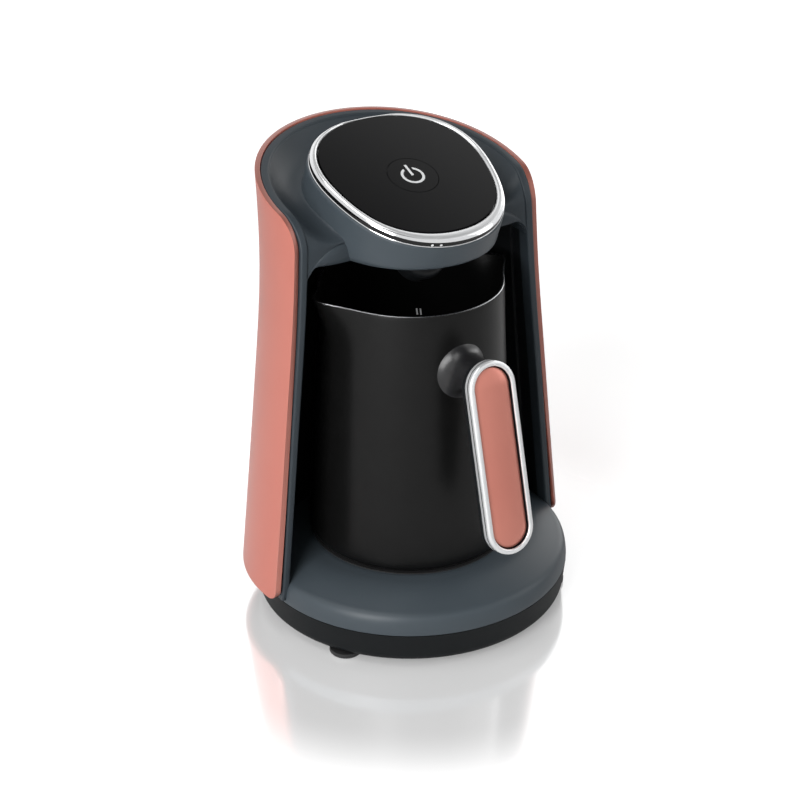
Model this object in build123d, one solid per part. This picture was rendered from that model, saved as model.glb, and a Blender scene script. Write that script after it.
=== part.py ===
"""Electric Turkish coffee maker: a coffee pot on a heated base, under a cantilevered head.

Millimetres, +Z up, the front of the machine faces -Y.  Heights below are measured from the
base's datum, which is LIFT above the table; main() raises every piece by LIFT, so that in the
files the origin is on the table, at the centre of the machine's footprint.
"""
import os
from math import cos, pi, radians, sin, sqrt

from build123d import *

# ---------------------------------------------------------------- driving dimensions
# Fits
FIT_GAP = 0.3            # air between two separate covers
RUNNING_GAP = 0.08       # radial clearance of a guided, sliding piece
SEAT_GAP = 0.05          # radial clearance of a piece seated in its pocket
SCREW_GAP = 0.3          # radial clearance of a screw where it passes through

LIFT = 2.4               # the datum's height above the table

# Tower: oval plan sections of the outer shell, (height, half width, centre Y)
TOWER_SECTIONS = ((17.0, 85.3, 9.0), (70.0, 79.3, 9.0), (120.0, 73.8, 9.0),
                  (170.0, 69.0, 11.0), (236.0, 67.9, 22.0))
TOWER_REAR_BOTTOM = 85.8
TOWER_REAR_TOP = 81.5
SHELL_WALL = 2.5
SHELL_BOTTOM = 17.5
RIM_FRONT_BOTTOM = -6.0  # Y of the shell's front edge at the bottom
RIM_FRONT_TOP = -1.0     # and level with the head
RIM_HEIGHT = 206.7       # height of the sloping rim above Y = 0
RIM_SLOPE = 0.262
RIM_CORNER = 18.0

# Front housing: the frame inside the shell
WING_WALL = 3.5
WING_DEPTH = 14.0        # Y where the side flanges end
NOSE_PROUD = 5.0         # the frame stands this far in front of the shell's edge
DECK_DROP = 5.0          # the deck lies this far below the rim
DECK_WALL = 2.5
MOUTH_TOP = 189.0        # top of the pot bay's opening
MOUTH_HALF_TOP = 60.5
MOUTH_HALF_BOTTOM = 86.0
MOUTH_CORNER = 12.0

# Bay liner: the curved wall behind the pot
LINER_WALL = 2.0
LINER_GAP = 2.3          # from the flange's inside to the liner's inside
BAY_CENTRE_Y = 2.0
BAY_DEPTH = 58.0
LINER_FRONT = 10.0
CEILING_HEIGHT = 195.7
CEILING_WALL = 2.0

# Head: its pieces are placed by their depth below the tilted plane of the bezel's top
HEAD_Y = 5.1
HEAD_Z = 217.7
HEAD_TILT = 21.0
HEAD_DEPTH = 18.0
HEAD_ROOT = 30.0         # the head's rear goes down into the deck to this depth
HEAD_ROOT_Y = 20.0       # and it does so behind this Y
HEAD_WALL = 2.5
HEAD_PROUD = 0.8         # the head's wall stands outside the bezel by this much
OUTER_SERIES = (45.8, 1.5, 1.4, -1.6, -1.1)      # outline radius, as a cosine series
INNER_SERIES = (41.9, 3.2, 1.4, -0.8, -1.0)
OUTLINE_POINTS = 24
BEZEL_HEIGHT = 4.0
BEZEL_BEVEL = 1.2
BEZEL_BEVEL_RUN = 1.7
BEZEL_LEDGE = 2.2
PANEL_SINK = 0.3
PANEL_WALL = 1.8

# Indicator lights in the bezel's side
LIGHT_ANGLES = (-18.4, -13.2)    # round the head from straight ahead, degrees
LIGHT_RADIUS = 0.6
LIGHT_LENGTH = 9.0
LIGHT_DEPTH = 2.9

# Power button
BUTTON_RADIUS = 12.1
BUTTON_TRAVEL = 0.5
BUTTON_CAP = 1.7
SKIRT_RADIUS = 11.1
SKIRT_WALL = 1.4
GUIDE_WALL = 1.8
GUIDE_DEPTH = 6.5
LIP_PROUD = 0.8
LIP_HEIGHT = 0.6
STEM_CORE = 2.2          # radius of the stem under the cap
SYMBOL_RADIUS = 5.75
SYMBOL_LINE = 1.3
SYMBOL_BAR = 7.7
SYMBOL_DEPTH = 0.5
PLUNGER_RADIUS = 1.7
PLUNGER_TOP = 7.2

# Control board in the head
BOARD_TOP = 11.5
BOARD_WALL = 1.6
BOARD_SIZE = (56.0, 46.0)
BOARD_POSTS = ((-23.0, -18.0), (23.0, -18.0), (-23.0, 18.0), (23.0, 18.0))
POST_RADIUS = 3.0
SMALL_SCREW = 1.1        # radius of the boards' screws
SMALL_HEAD = 2.2
SMALL_HEAD_HEIGHT = 1.4
SMALL_SCREW_GRIP = 5.0
SWITCH_SIZE = 6.2
SWITCH_HEIGHT = 3.4
LED_SPOTS = ((6.5, 5.5), (-11.0, -21.0))
LED_SIZE = 3.0
LED_HEIGHT = 1.2
BUZZER_SPOT = (19.0, 8.0)
BUZZER_RADIUS = 4.6
BUZZER_HEIGHT = 4.5

# Sensor snout
SNOUT_WIDTH = 24.0
SNOUT_THICK = 12.0
SNOUT_LENGTH = 30.5
SNOUT_LEAN = 31.0
SNOUT_ROOT_Y = 8.5
SNOUT_WALL = 1.6
SNOUT_EDGE = 2.5
WINDOW_RADIUS = 3.2
WINDOW_LENGTH = 5.0

# Power board behind the liner
POWER_BOARD = (56.0, 1.6, 70.0)
POWER_BOARD_Z = 112.0
POWER_POSTS = ((-24.0, 81.0), (24.0, 81.0), (-24.0, 143.0), (24.0, 143.0))
POWER_POST_LENGTH = 3.7
LEAD_RADIUS = 2.0
LEAD_X = 10.0
WIRE_RADIUS = 1.4
WIRE_X = 7.5

# Base
BASE_HALF_WIDTH = 79.5
BASE_HALF_DEPTH = 77.5
BASE_Y = 4.0
BASE_SEAM = 16.0
BASE_SHOULDER = 26.0
BASE_TOP = 31.2
BASE_BEVEL = 2.4
BASE_WALL = 2.5
BASE_CROWN_RADIUS = 56.0
PAN_BOTTOM = 0.2
PAN_WALL = 2.3
PAN_CORNER = 4.5
PAN_TAPER = 1.5
PAN_LIP_WALL = 1.4
PAN_LIP_INSET = 3.6
PAN_LIP_RISE = 2.8
FOOT_RADIUS = 8.0
FOOT_PLUG = 3.0
FOOT_SPOTS = ((-60.0, -33.0), (60.0, -33.0), (-57.0, 38.0), (57.0, 38.0))

# Screws of the base and the tower
SCREW_RADIUS = 1.5
SCREW_HEAD_RADIUS = 2.8
SCREW_HEAD_HEIGHT = 2.2
BOSS_RADIUS = 4.0
BASE_SCREW_SPOTS = ((-48.0, -44.0), (48.0, -44.0), (-66.0, 20.0), (66.0, 20.0))
BASE_BOSS_BOTTOM = 10.0
BASE_SCREW_TOP = 20.0
LINER_SCREW_SPOTS = ((-24.0, 60.0), (24.0, 60.0))
SHELL_SCREW_SPOTS = ((-36.0, 60.5), (36.0, 60.5))
TOWER_PAD = 23.3         # underside of the cover's pads for the tower's screws
TOWER_BOSS_TOP = 48.0
TOWER_SCREW_TOP = 42.0

# Heater
PLATE_TOP = 32.0
PLATE_WALL = 3.5
PLATE_RADIUS = 44.0
SEAL_WALL = 3.2
SEAL_LIP = 2.5
SEAL_FLANGE = 0.5
ELEMENT_RADIUS = 29.0
ELEMENT_TUBE = 3.3
ELEMENT_GAP_ANGLE = 22.0
CLAMP_INNER = 19.0
CLAMP_OUTER = 34.0
CLAMP_WALL = 0.9
CLAMP_SCREW_RING = 21.5
SHIELD_RADIUS = 43.0
SHIELD_BOTTOM = 15.7
SHIELD_WALL = 0.8
SHIELD_FLANGE = 55.0
STAKE_RADIUS = 1.5
STAKE_RING = 52.5
THIRDS = (30.0, 150.0, 270.0)    # angles of three fixings round the heater
CUTOUT_RADIUS = 8.0
CUTOUT_HEIGHT = 6.0
PROBE_RADIUS = 2.5
PROBE_HEIGHT = 4.0

# Pot
POT_Y = 6.0
POT_HEIGHT = 133.0
POT_FOOT_RADIUS = 51.0
POT_RIM_RADIUS = 44.3
POT_WALL = 1.5
POT_CORNER = 5.0
SPOUT_REACH = 53.3
SPOUT_HALF_WIDTH = 12.0
SPOUT_LENGTH = 15.8
SPOUT_TIP = 5.0
SPOUT_DROP = 19.0        # the spout begins this far below the rim
SPOUT_SPREAD = 9.5       # and comes out this far on its way up

# Handle: its pieces are placed by their depth below the tilted plane of its outer face
GRIP_TOP = (-61.4, 149.5)        # Y and Z of the outer face's upper end
GRIP_BOTTOM = (-86.0, 61.0)
GRIP_WIDTH = 24.8
FRAME_BAND = 3.3
FRAME_THICK = 4.5
FRAME_EDGE = 1.2
INSERT_SINK = 0.5
INSERT_THICK = 2.0
GRIP_THICK = 6.5
GRIP_INSET = 0.6
GRIP_EDGE = 4.0
STEM_UP = 34.5           # the stem's axis above the middle of the grip
STEM_DROP = 7.0          # the stem's slope down towards the pot, degrees
STEM_RADII = (9.0, 9.0, 12.7)    # in the grip, at the waist and at the pot
STEM_DEPTHS = (8.0, 16.0, 30.0)
STUD_RADIUS = 4.0
STUD_TOP = 19.0
HANDLE_SCREW = 1.9
HANDLE_SCREW_HEAD = 3.6
HANDLE_SCREW_HEAD_HEIGHT = 2.6
HANDLE_SCREW_END = 23.0

# Cord inlet
GLAND_Z = 9.2
GLAND_RADIUS = 5.2
GLAND_FLANGE = 6.2
GLAND_BORE = 3.4
GLAND_LENGTH = 5.0
GLAND_FLANGE_WALL = 1.8

# ---------------------------------------------------------------- derived sizes and planes
BIG = 400.0              # larger than the machine, for cutting blocks
WING_OUTSIDE = SHELL_WALL + FIT_GAP
WING_INSIDE = WING_OUTSIDE + WING_WALL
LIP_BACK = RIM_FRONT_TOP - NOSE_PROUD + DECK_WALL    # Y of the back of the bay's front lip
HEAD_INSIDE = HEAD_PROUD - HEAD_WALL
PANEL_BOTTOM = PANEL_SINK + PANEL_WALL
CAP_BOTTOM = PANEL_SINK + BUTTON_CAP
BOARD_BOTTOM = BOARD_TOP + BOARD_WALL
FLOOR_BOTTOM = HEAD_DEPTH - FIT_GAP
FLOOR_TOP = FLOOR_BOTTOM - CEILING_WALL
POWER_FACE = BAY_CENTRE_Y + BAY_DEPTH + LINER_WALL + POWER_POST_LENGTH
POWER_BACK = POWER_FACE + POWER_BOARD[1]
LEAD_Y = POWER_BACK + LEAD_RADIUS + SEAT_GAP
WIRE_Y = POWER_BACK + 3.0
PLATE_BOTTOM = PLATE_TOP - PLATE_WALL
SEAL_BOTTOM = BASE_TOP - BASE_WALL - 0.8
ELEMENT_Z = PLATE_BOTTOM - ELEMENT_TUBE - SEAT_GAP
CLAMP_TOP = ELEMENT_Z - ELEMENT_TUBE - SEAT_GAP
CLAMP_BOTTOM = CLAMP_TOP - CLAMP_WALL
POT_RIM_Z = PLATE_TOP + POT_HEIGHT
GRIP_BACK = FRAME_THICK + GRIP_THICK
HEAD = Plane(origin=(0, HEAD_Y, HEAD_Z), x_dir=(1, 0, 0),
             z_dir=(0, -sin(radians(HEAD_TILT)), cos(radians(HEAD_TILT))))
SNOUT = Plane(origin=(0, SNOUT_ROOT_Y, CEILING_HEIGHT), x_dir=(1, 0, 0),
              z_dir=(0, -cos(radians(SNOUT_LEAN)), sin(radians(SNOUT_LEAN))))
GRIP_RISE = GRIP_TOP[1] - GRIP_BOTTOM[1]
GRIP_RUN = GRIP_TOP[0] - GRIP_BOTTOM[0]
GRIP_LENGTH = sqrt(GRIP_RISE ** 2 + GRIP_RUN ** 2)
GRIP = Plane(origin=(0, (GRIP_TOP[0] + GRIP_BOTTOM[0]) / 2, (GRIP_TOP[1] + GRIP_BOTTOM[1]) / 2),
             x_dir=(1, 0, 0), z_dir=(0, -GRIP_RISE, GRIP_RUN))
STEM = Plane(origin=GRIP.from_local_coords((0, STEM_UP, 0)), x_dir=(1, 0, 0),
             z_dir=(0, -cos(radians(STEM_DROP)), sin(radians(STEM_DROP))))


# ---------------------------------------------------------------- shapes used by many pieces
def block(y_low, y_high, z_low, z_high, half_x=BIG / 2):
    """A cutting block across the middle of the machine."""
    middle = Pos(0, (y_low + y_high) / 2, (z_low + z_high) / 2)
    return middle * Box(2 * half_x, y_high - y_low, z_high - z_low)


def rod(radius, low, high, x=0.0, y=0.0):
    """An upright round piece from height low to height high."""
    return Pos(x, y, (low + high) / 2) * Cylinder(radius, high - low)


def ring(inner, outer, low, high, y=POT_Y):
    """An upright tube about the heater's axis."""
    return rod(outer, low, high, 0, y) - rod(inner, low, high, 0, y)


def rod_along_y(radius, front, back, x, z):
    """A round piece that lies along Y."""
    return Pos(x, (front + back) / 2, z) * Rot(90, 0, 0) * Cylinder(radius, back - front)


def disc_in(plane, radius, top, bottom, x=0.0, y=0.0):
    """A round piece square to a plane, from depth top to depth bottom."""
    return plane * Pos(x, y, -(top + bottom) / 2) * Cylinder(radius, bottom - top)


def box_in(plane, size_x, size_y, top, bottom, x=0.0, y=0.0):
    """A rectangular piece square to a plane, from depth top to depth bottom."""
    return plane * Pos(x, y, -(top + bottom) / 2) * Box(size_x, size_y, bottom - top)


def around_heater(radius):
    """Three places on a circle about the heater's axis."""
    return [(radius * cos(radians(a)), POT_Y + radius * sin(radians(a))) for a in THIRDS]


def wire(radius, points, bend):
    """A round wire along a path of straight runs and rounded bends."""
    path = FilletPolyline(*points, radius=bend)
    return sweep(Plane(origin=path @ 0, z_dir=path % 0) * Circle(radius), path)


# ---------------------------------------------------------------- forms
def tower(inset):
    """The tower's plan sections, each drawn in by inset and lofted from bottom to top."""
    low, high = TOWER_SECTIONS[0][0], TOWER_SECTIONS[-1][0]
    faces = []
    for height, half_width, centre in TOWER_SECTIONS:
        share = (height - low) / (high - low)
        rear = TOWER_REAR_BOTTOM + share * (TOWER_REAR_TOP - TOWER_REAR_BOTTOM)
        faces.append(Pos(0, centre, height) * Ellipse(half_width - inset, rear - centre - inset))
    return loft(faces)


def side_profile(proud, drop):
    """Side view of the tower, as a wide block: a leaning front edge and a sloping rim."""
    rim = RIM_HEIGHT - drop
    lean = (RIM_FRONT_TOP - RIM_FRONT_BOTTOM) / (RIM_HEIGHT - SHELL_BOTTOM)
    foot_y = RIM_FRONT_BOTTOM - proud - lean * SHELL_BOTTOM
    top_y = RIM_FRONT_TOP - proud
    back_y = BIG / 4
    edge = Polyline((foot_y, 0), (top_y, rim + RIM_SLOPE * top_y), (back_y, rim + RIM_SLOPE * back_y),
                    (back_y, 0), close=True)
    face = make_face(Plane.YZ * edge)
    shoulder = face.vertices().sort_by(Axis.Y)[0:2].sort_by(Axis.Z)[-1]
    return extrude(fillet(shoulder, RIM_CORNER), BIG / 2, dir=(1, 0, 0), both=True)


def bay_form(grow):
    """The pot bay's inside, drawn out by grow."""
    inset = WING_INSIDE + LINER_GAP - grow
    faces = [Pos(0, BAY_CENTRE_Y, height) * Ellipse(half_width - inset, BAY_DEPTH + grow)
             for height, half_width, _ in TOWER_SECTIONS]
    return loft(faces)


def base_oval(inset, z):
    """The base's oval outline at height z, drawn in by inset."""
    return Pos(0, BASE_Y, z) * Ellipse(BASE_HALF_WIDTH - inset, BASE_HALF_DEPTH - inset)


def base_form(inset):
    """The base cover's outside, drawn in by inset: a bevelled wall and a low dome."""
    shoulder = base_oval(inset + BASE_BEVEL, BASE_SHOULDER - inset)
    crown = Pos(0, POT_Y, BASE_TOP - inset) * Circle(BASE_CROWN_RADIUS)
    wall = loft([base_oval(inset, BASE_SEAM), shoulder], ruled=True)
    return wall + loft([shoulder, crown], ruled=True)


def outline(series, grow):
    """Closed smooth outline whose radius is a cosine series of the angle from the rear."""
    points = []
    for step in range(OUTLINE_POINTS):
        angle = 2 * pi * step / OUTLINE_POINTS
        radius = grow + sum(size * cos(order * angle) for order, size in enumerate(series))
        points.append((radius * sin(angle), radius * cos(angle)))
    return make_face(Spline(*points, periodic=True))


def head_form(series, grow, top, bottom):
    """The head's outline carried from depth top to depth bottom."""
    return HEAD * Pos(0, 0, -bottom) * extrude(outline(series, grow), bottom - top)


def head_bevel(series, grow_top, grow_bottom, top, bottom):
    """The head's outline tapering between two depths."""
    return HEAD * loft([Pos(0, 0, -bottom) * outline(series, grow_bottom),
                        Pos(0, 0, -top) * outline(series, grow_top)])


# ---------------------------------------------------------------- tower pieces
def outer_shell():
    """Thin painted shell round the back and both sides, with two screw bosses inside."""
    shell = (tower(0) - tower(SHELL_WALL)) & side_profile(0, 0)
    for x, y in SHELL_SCREW_SPOTS:
        boss = rod(BOSS_RADIUS, 0, TOWER_BOSS_TOP, x, y)
        boss += Pos(x, y + 10, TOWER_BOSS_TOP / 2) * Box(3, 20, TOWER_BOSS_TOP)
        shell += boss & tower(SHELL_WALL / 2)
    shell -= base_form(-FIT_GAP) & block(-BIG / 2, BIG / 2, BASE_SEAM, BIG)
    shell &= block(-BIG / 2, BIG / 2, SHELL_BOTTOM, BIG)
    for x, y in SHELL_SCREW_SPOTS:
        shell -= rod(SCREW_RADIUS + SEAT_GAP, 0, TOWER_SCREW_TOP + 2, x, y)
    return shell


def front_housing():
    """Frame inside the shell: two side flanges, the deck, and the head's outer wall."""
    form = tower(WING_OUTSIDE) & side_profile(NOSE_PROUD, DECK_DROP)
    room = tower(WING_INSIDE) & side_profile(NOSE_PROUD - DECK_WALL, DECK_DROP + DECK_WALL)
    frame = form - room - block(WING_DEPTH, BIG / 2, 0, CEILING_HEIGHT + CEILING_WALL + FIT_GAP)
    edge = Polyline((-MOUTH_HALF_TOP, MOUTH_TOP), (MOUTH_HALF_TOP, MOUTH_TOP),
                    (MOUTH_HALF_BOTTOM, 0), (-MOUTH_HALF_BOTTOM, 0), close=True)
    mouth = make_face(Plane.XZ * edge)
    mouth = fillet(mouth.vertices().sort_by(Axis.Z)[-2:], MOUTH_CORNER)
    frame -= extrude(mouth, BIG / 4, dir=(0, 1, 0), both=True) & tower(WING_INSIDE)
    frame -= base_form(-FIT_GAP)
    frame &= block(-BIG / 2, BIG / 2, SHELL_BOTTOM + FIT_GAP, BIG)
    collar = head_form(OUTER_SERIES, HEAD_PROUD, BEZEL_HEIGHT, HEAD_ROOT)
    collar = collar & block(HEAD_ROOT_Y, BIG / 2, 0, BIG)
    collar += head_form(OUTER_SERIES, HEAD_PROUD, BEZEL_HEIGHT, HEAD_DEPTH)
    frame += collar - room
    passage = head_form(OUTER_SERIES, HEAD_INSIDE, -BIG / 8, HEAD_ROOT)
    passage = passage & block(LIP_BACK, BIG / 2, MOUTH_TOP, BIG)
    return frame - passage - head_form(OUTER_SERIES, HEAD_INSIDE, -BIG / 8, HEAD_DEPTH)


def bay_liner():
    """Curved wall behind the pot, with posts for the power board and two screw bosses."""
    wall = bay_form(LINER_WALL)
    for x, z in POWER_POSTS:
        wall += rod_along_y(POST_RADIUS, BAY_DEPTH / 2, POWER_FACE, x, z)
    for x, y in LINER_SCREW_SPOTS:
        wall += rod(BOSS_RADIUS, BASE_SHOULDER, TOWER_BOSS_TOP, x, y)
    wall -= bay_form(0)
    wall &= block(LINER_FRONT, BIG / 2, 0, CEILING_HEIGHT - FIT_GAP)
    wall -= base_form(-FIT_GAP)
    for x, z in POWER_POSTS:
        wall -= rod_along_y(SMALL_SCREW + SEAT_GAP, POWER_FACE - SMALL_SCREW_GRIP, BIG / 4, x, z)
    for x, y in LINER_SCREW_SPOTS:
        wall -= rod(SCREW_RADIUS + SEAT_GAP, 0, TOWER_SCREW_TOP + 2, x, y)
    return wall


def tower_screws():
    """Four screws from inside the base cover up into the shell and the liner."""
    screws = []
    for x, y in LINER_SCREW_SPOTS + SHELL_SCREW_SPOTS:
        screw = rod(SCREW_HEAD_RADIUS, TOWER_PAD - SCREW_HEAD_HEIGHT, TOWER_PAD, x, y)
        screws.append(screw + rod(SCREW_RADIUS, TOWER_PAD, TOWER_SCREW_TOP, x, y))
    return screws


# ---------------------------------------------------------------- head pieces
def head_underside():
    """Floor of the head and ceiling of the bay, with the control board's posts."""
    fit = HEAD_INSIDE - FIT_GAP
    seam = LIP_BACK + FIT_GAP
    floor = head_form(OUTER_SERIES, fit, FLOOR_TOP, FLOOR_BOTTOM) & block(-BIG / 2, seam + 0.5, 0, BIG)
    under_deck = side_profile(NOSE_PROUD - DECK_WALL - FIT_GAP, DECK_DROP + DECK_WALL + FIT_GAP)
    under_deck += head_form(OUTER_SERIES, fit, 0, HEAD_ROOT)
    slab = block(seam, BIG / 2, CEILING_HEIGHT, CEILING_HEIGHT + CEILING_WALL)
    ceiling = slab & tower(WING_INSIDE + FIT_GAP) & under_deck
    room = head_form(OUTER_SERIES, fit, BOARD_BOTTOM, FLOOR_TOP + 0.5)
    room += head_form(OUTER_SERIES, fit, BOARD_BOTTOM, BIG / 8) & block(
        seam, BIG / 2, CEILING_HEIGHT + 0.5, BIG)
    underside = floor + ceiling
    for x, y in BOARD_POSTS:
        underside += disc_in(HEAD, POST_RADIUS, BOARD_BOTTOM, BIG / 8, x, y) & room
        underside -= disc_in(HEAD, SMALL_SCREW + SEAT_GAP, BOARD_TOP, FLOOR_TOP + 0.5, x, y)
    return underside - rod(LEAD_RADIUS + FIT_GAP, BIG / 4, BIG, LEAD_X, LEAD_Y)


def light_pin(angle, gap):
    """One indicator's clear pin, through the bezel's side."""
    reach = sum(size * cos(order * pi) for order, size in enumerate(OUTER_SERIES))
    middle = Pos(0, LIGHT_LENGTH / 2 - reach, -LIGHT_DEPTH) * Rot(90, 0, 0)
    return HEAD * Rot(0, 0, angle) * middle * Cylinder(LIGHT_RADIUS + gap, LIGHT_LENGTH)


def indicator_lights():
    """Two small clear pins in the bezel's side band."""
    return [light_pin(angle, 0) for angle in LIGHT_ANGLES]


def bezel_ring():
    """Polished ring round the top panel, bevelled both ways, with a ledge for the panel."""
    band = head_form(OUTER_SERIES, 0, BEZEL_BEVEL, BEZEL_HEIGHT)
    band += head_bevel(OUTER_SERIES, -BEZEL_BEVEL_RUN, 0, 0, BEZEL_BEVEL)
    band -= head_bevel(INNER_SERIES, BEZEL_BEVEL_RUN, 0, 0, BEZEL_BEVEL)
    band -= head_form(INNER_SERIES, 0, 0, PANEL_BOTTOM)
    band -= head_form(INNER_SERIES, -BEZEL_LEDGE, 0, BEZEL_HEIGHT)
    for angle in LIGHT_ANGLES:
        band -= light_pin(angle, SEAT_GAP)
    return band


def top_panel():
    """Gloss plate inside the bezel, with the button's opening and its guide below."""
    panel = head_form(INNER_SERIES, -FIT_GAP / 2, PANEL_SINK, PANEL_BOTTOM)
    panel += disc_in(HEAD, BUTTON_RADIUS + GUIDE_WALL, PANEL_BOTTOM, GUIDE_DEPTH)
    panel -= disc_in(HEAD, BUTTON_RADIUS + FIT_GAP, 0, CAP_BOTTOM + BUTTON_TRAVEL + FIT_GAP)
    return panel - disc_in(HEAD, SKIRT_RADIUS + RUNNING_GAP, 0, BOARD_TOP)


def power_symbol():
    """Clear inlay in the button: an open ring with an upright bar in its gap."""
    low = PANEL_SINK + SYMBOL_DEPTH
    mark = disc_in(HEAD, SYMBOL_RADIUS, PANEL_SINK, low)
    mark -= disc_in(HEAD, SYMBOL_RADIUS - SYMBOL_LINE, 0, BOARD_TOP)
    mark -= box_in(HEAD, 3.4 * SYMBOL_LINE, SYMBOL_RADIUS, 0, BOARD_TOP, 0, SYMBOL_RADIUS)
    return mark + box_in(HEAD, SYMBOL_LINE, SYMBOL_BAR, PANEL_SINK, low, 0, SYMBOL_BAR / 2)


def power_button():
    """Round button cap with a guide skirt, a retaining lip and a central stem."""
    button = disc_in(HEAD, BUTTON_RADIUS, PANEL_SINK, CAP_BOTTOM)
    button += disc_in(HEAD, SKIRT_RADIUS, CAP_BOTTOM, PLUNGER_TOP)
    button += disc_in(HEAD, SKIRT_RADIUS + LIP_PROUD, PLUNGER_TOP - LIP_HEIGHT, PLUNGER_TOP)
    button -= disc_in(HEAD, SKIRT_RADIUS - SKIRT_WALL, CAP_BOTTOM, PLUNGER_TOP)
    return button + disc_in(HEAD, STEM_CORE, CAP_BOTTOM, PLUNGER_TOP) - power_symbol()


def switch_plunger():
    """Plunger of the push switch, under the button's stem."""
    return disc_in(HEAD, PLUNGER_RADIUS, PLUNGER_TOP, BOARD_TOP - 2 * BUTTON_TRAVEL - FIT_GAP)


def tactile_switch():
    """Push switch on the control board, bored for its plunger."""
    body = box_in(HEAD, SWITCH_SIZE, SWITCH_SIZE, BOARD_TOP - SWITCH_HEIGHT, BOARD_TOP)
    return body - disc_in(HEAD, PLUNGER_RADIUS + RUNNING_GAP, 0, BOARD_TOP - BUTTON_TRAVEL)


def control_board():
    """Circuit board under the top panel."""
    board = box_in(HEAD, BOARD_SIZE[0], BOARD_SIZE[1], BOARD_TOP, BOARD_BOTTOM)
    for x, y in BOARD_POSTS:
        board -= disc_in(HEAD, SMALL_SCREW + SCREW_GAP, 0, HEAD_ROOT, x, y)
    return board


def board_screws():
    """Four small screws that hold the control board."""
    screws = []
    for x, y in BOARD_POSTS:
        screw = disc_in(HEAD, SMALL_HEAD, BOARD_TOP - SMALL_HEAD_HEIGHT, BOARD_TOP, x, y)
        screws.append(screw + disc_in(HEAD, SMALL_SCREW, BOARD_TOP, FLOOR_TOP, x, y))
    return screws


def status_leds():
    """Light sources on the control board: one for the power mark, one for the indicators."""
    return [box_in(HEAD, LED_SIZE, LED_SIZE, BOARD_TOP - LED_HEIGHT, BOARD_TOP, x, y)
            for x, y in LED_SPOTS]


def buzzer():
    """Round buzzer on the control board, with its sound hole."""
    x, y = BUZZER_SPOT
    body = disc_in(HEAD, BUZZER_RADIUS, BOARD_TOP - BUZZER_HEIGHT, BOARD_TOP, x, y)
    return body - disc_in(HEAD, BUZZER_RADIUS / 5, 0, BOARD_TOP - BUZZER_HEIGHT / 2, x, y)


# ---------------------------------------------------------------- sensor pieces
def snout_form(inset):
    """Tongue with a round lower end and soft edges, drawn in by inset."""
    straight = SNOUT_LENGTH - SNOUT_WIDTH / 2
    half = SNOUT_WIDTH / 2 - inset
    face = Pos(0, -straight) * Rectangle(2 * half, 2 * straight, align=(Align.CENTER, Align.MIN))
    face += Pos(0, -straight) * Circle(half)
    slab = Pos(0, 0, inset - SNOUT_THICK / 2) * extrude(face, SNOUT_THICK - 2 * inset)
    rims = slab.edges().group_by(Axis.Z)
    return SNOUT * fillet(rims[0] + rims[-1], SNOUT_EDGE - inset / 2)


def snout_window(gap):
    """A round plug through the snout's lower end."""
    middle = Pos(0, WINDOW_LENGTH / 2 - SNOUT_LENGTH, 0) * Rot(90, 0, 0)
    return SNOUT * middle * Cylinder(WINDOW_RADIUS + gap, WINDOW_LENGTH)


def sensor_snout():
    """Hollow sensor cover under the head, over the middle of the pot."""
    shell = snout_form(0) - snout_form(SNOUT_WALL) - snout_window(SEAT_GAP)
    return shell & block(-BIG / 2, BIG / 2, 0, CEILING_HEIGHT)


def sensor_window():
    """Clear window of the foam sensor, flush with the snout's rounded end."""
    return snout_window(0) & snout_form(0)


def sensor_board():
    """Small circuit board that stands in the snout behind the window."""
    depth = SNOUT_THICK / 2 - SNOUT_WALL - FIT_GAP
    return box_in(SNOUT, SNOUT_WIDTH / 2, 0.65 * SNOUT_LENGTH, depth - BOARD_WALL, depth,
                  0, -0.46 * SNOUT_LENGTH)


# ---------------------------------------------------------------- power supply pieces
def on_power_board(size, x, z):
    """A rectangular component on the back of the power board."""
    return Pos(x, POWER_BACK + size[1] / 2, z) * Box(*size)


def power_board():
    """Upright circuit board behind the bay liner."""
    board = Pos(0, POWER_FACE + POWER_BOARD[1] / 2, POWER_BOARD_Z) * Box(*POWER_BOARD)
    for x, z in POWER_POSTS:
        board -= rod_along_y(SMALL_SCREW + SCREW_GAP, 0, BIG / 4, x, z)
    return board


def power_screws():
    """Four screws that hold the power board to the liner's posts."""
    screws = []
    for x, z in POWER_POSTS:
        screw = rod_along_y(SMALL_HEAD, POWER_BACK, POWER_BACK + SMALL_HEAD_HEIGHT, x, z)
        screws.append(screw + rod_along_y(SMALL_SCREW, POWER_FACE - 4, POWER_BACK, x, z))
    return screws


def relay():
    """Relay that switches the heater."""
    return on_power_board((15.0, 7.6, 19.0), -12.0, POWER_BOARD_Z + 12)


def filter_capacitor():
    """Mains filter capacitor."""
    return on_power_board((13.0, 7.0, 10.0), 9.0, POWER_BOARD_Z - 8)


def terminal_block():
    """Screw terminals for the mains and heater wires."""
    z = POWER_BOARD_Z - 26
    body = on_power_board((24.0, 7.6, 10.0), 0.0, z)
    for x in (-WIRE_X, 0.0, WIRE_X):
        body -= rod_along_y(1.6, POWER_BACK + 5, BIG / 4, x, z)
    return body


def signal_lead():
    """Lead from the power board, through the bay's ceiling, to the control board."""
    down = Vector(0, sin(radians(HEAD_TILT)), -cos(radians(HEAD_TILT)))
    start = HEAD.origin + HEAD.x_dir * LEAD_X + HEAD.y_dir * 16 + down * (BOARD_BOTTOM + SEAT_GAP)
    turn = start + down * 6
    return wire(LEAD_RADIUS, [start, turn, (LEAD_X, LEAD_Y, turn.Z), (LEAD_X, LEAD_Y, POWER_BOARD_Z)], 3.5)


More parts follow.
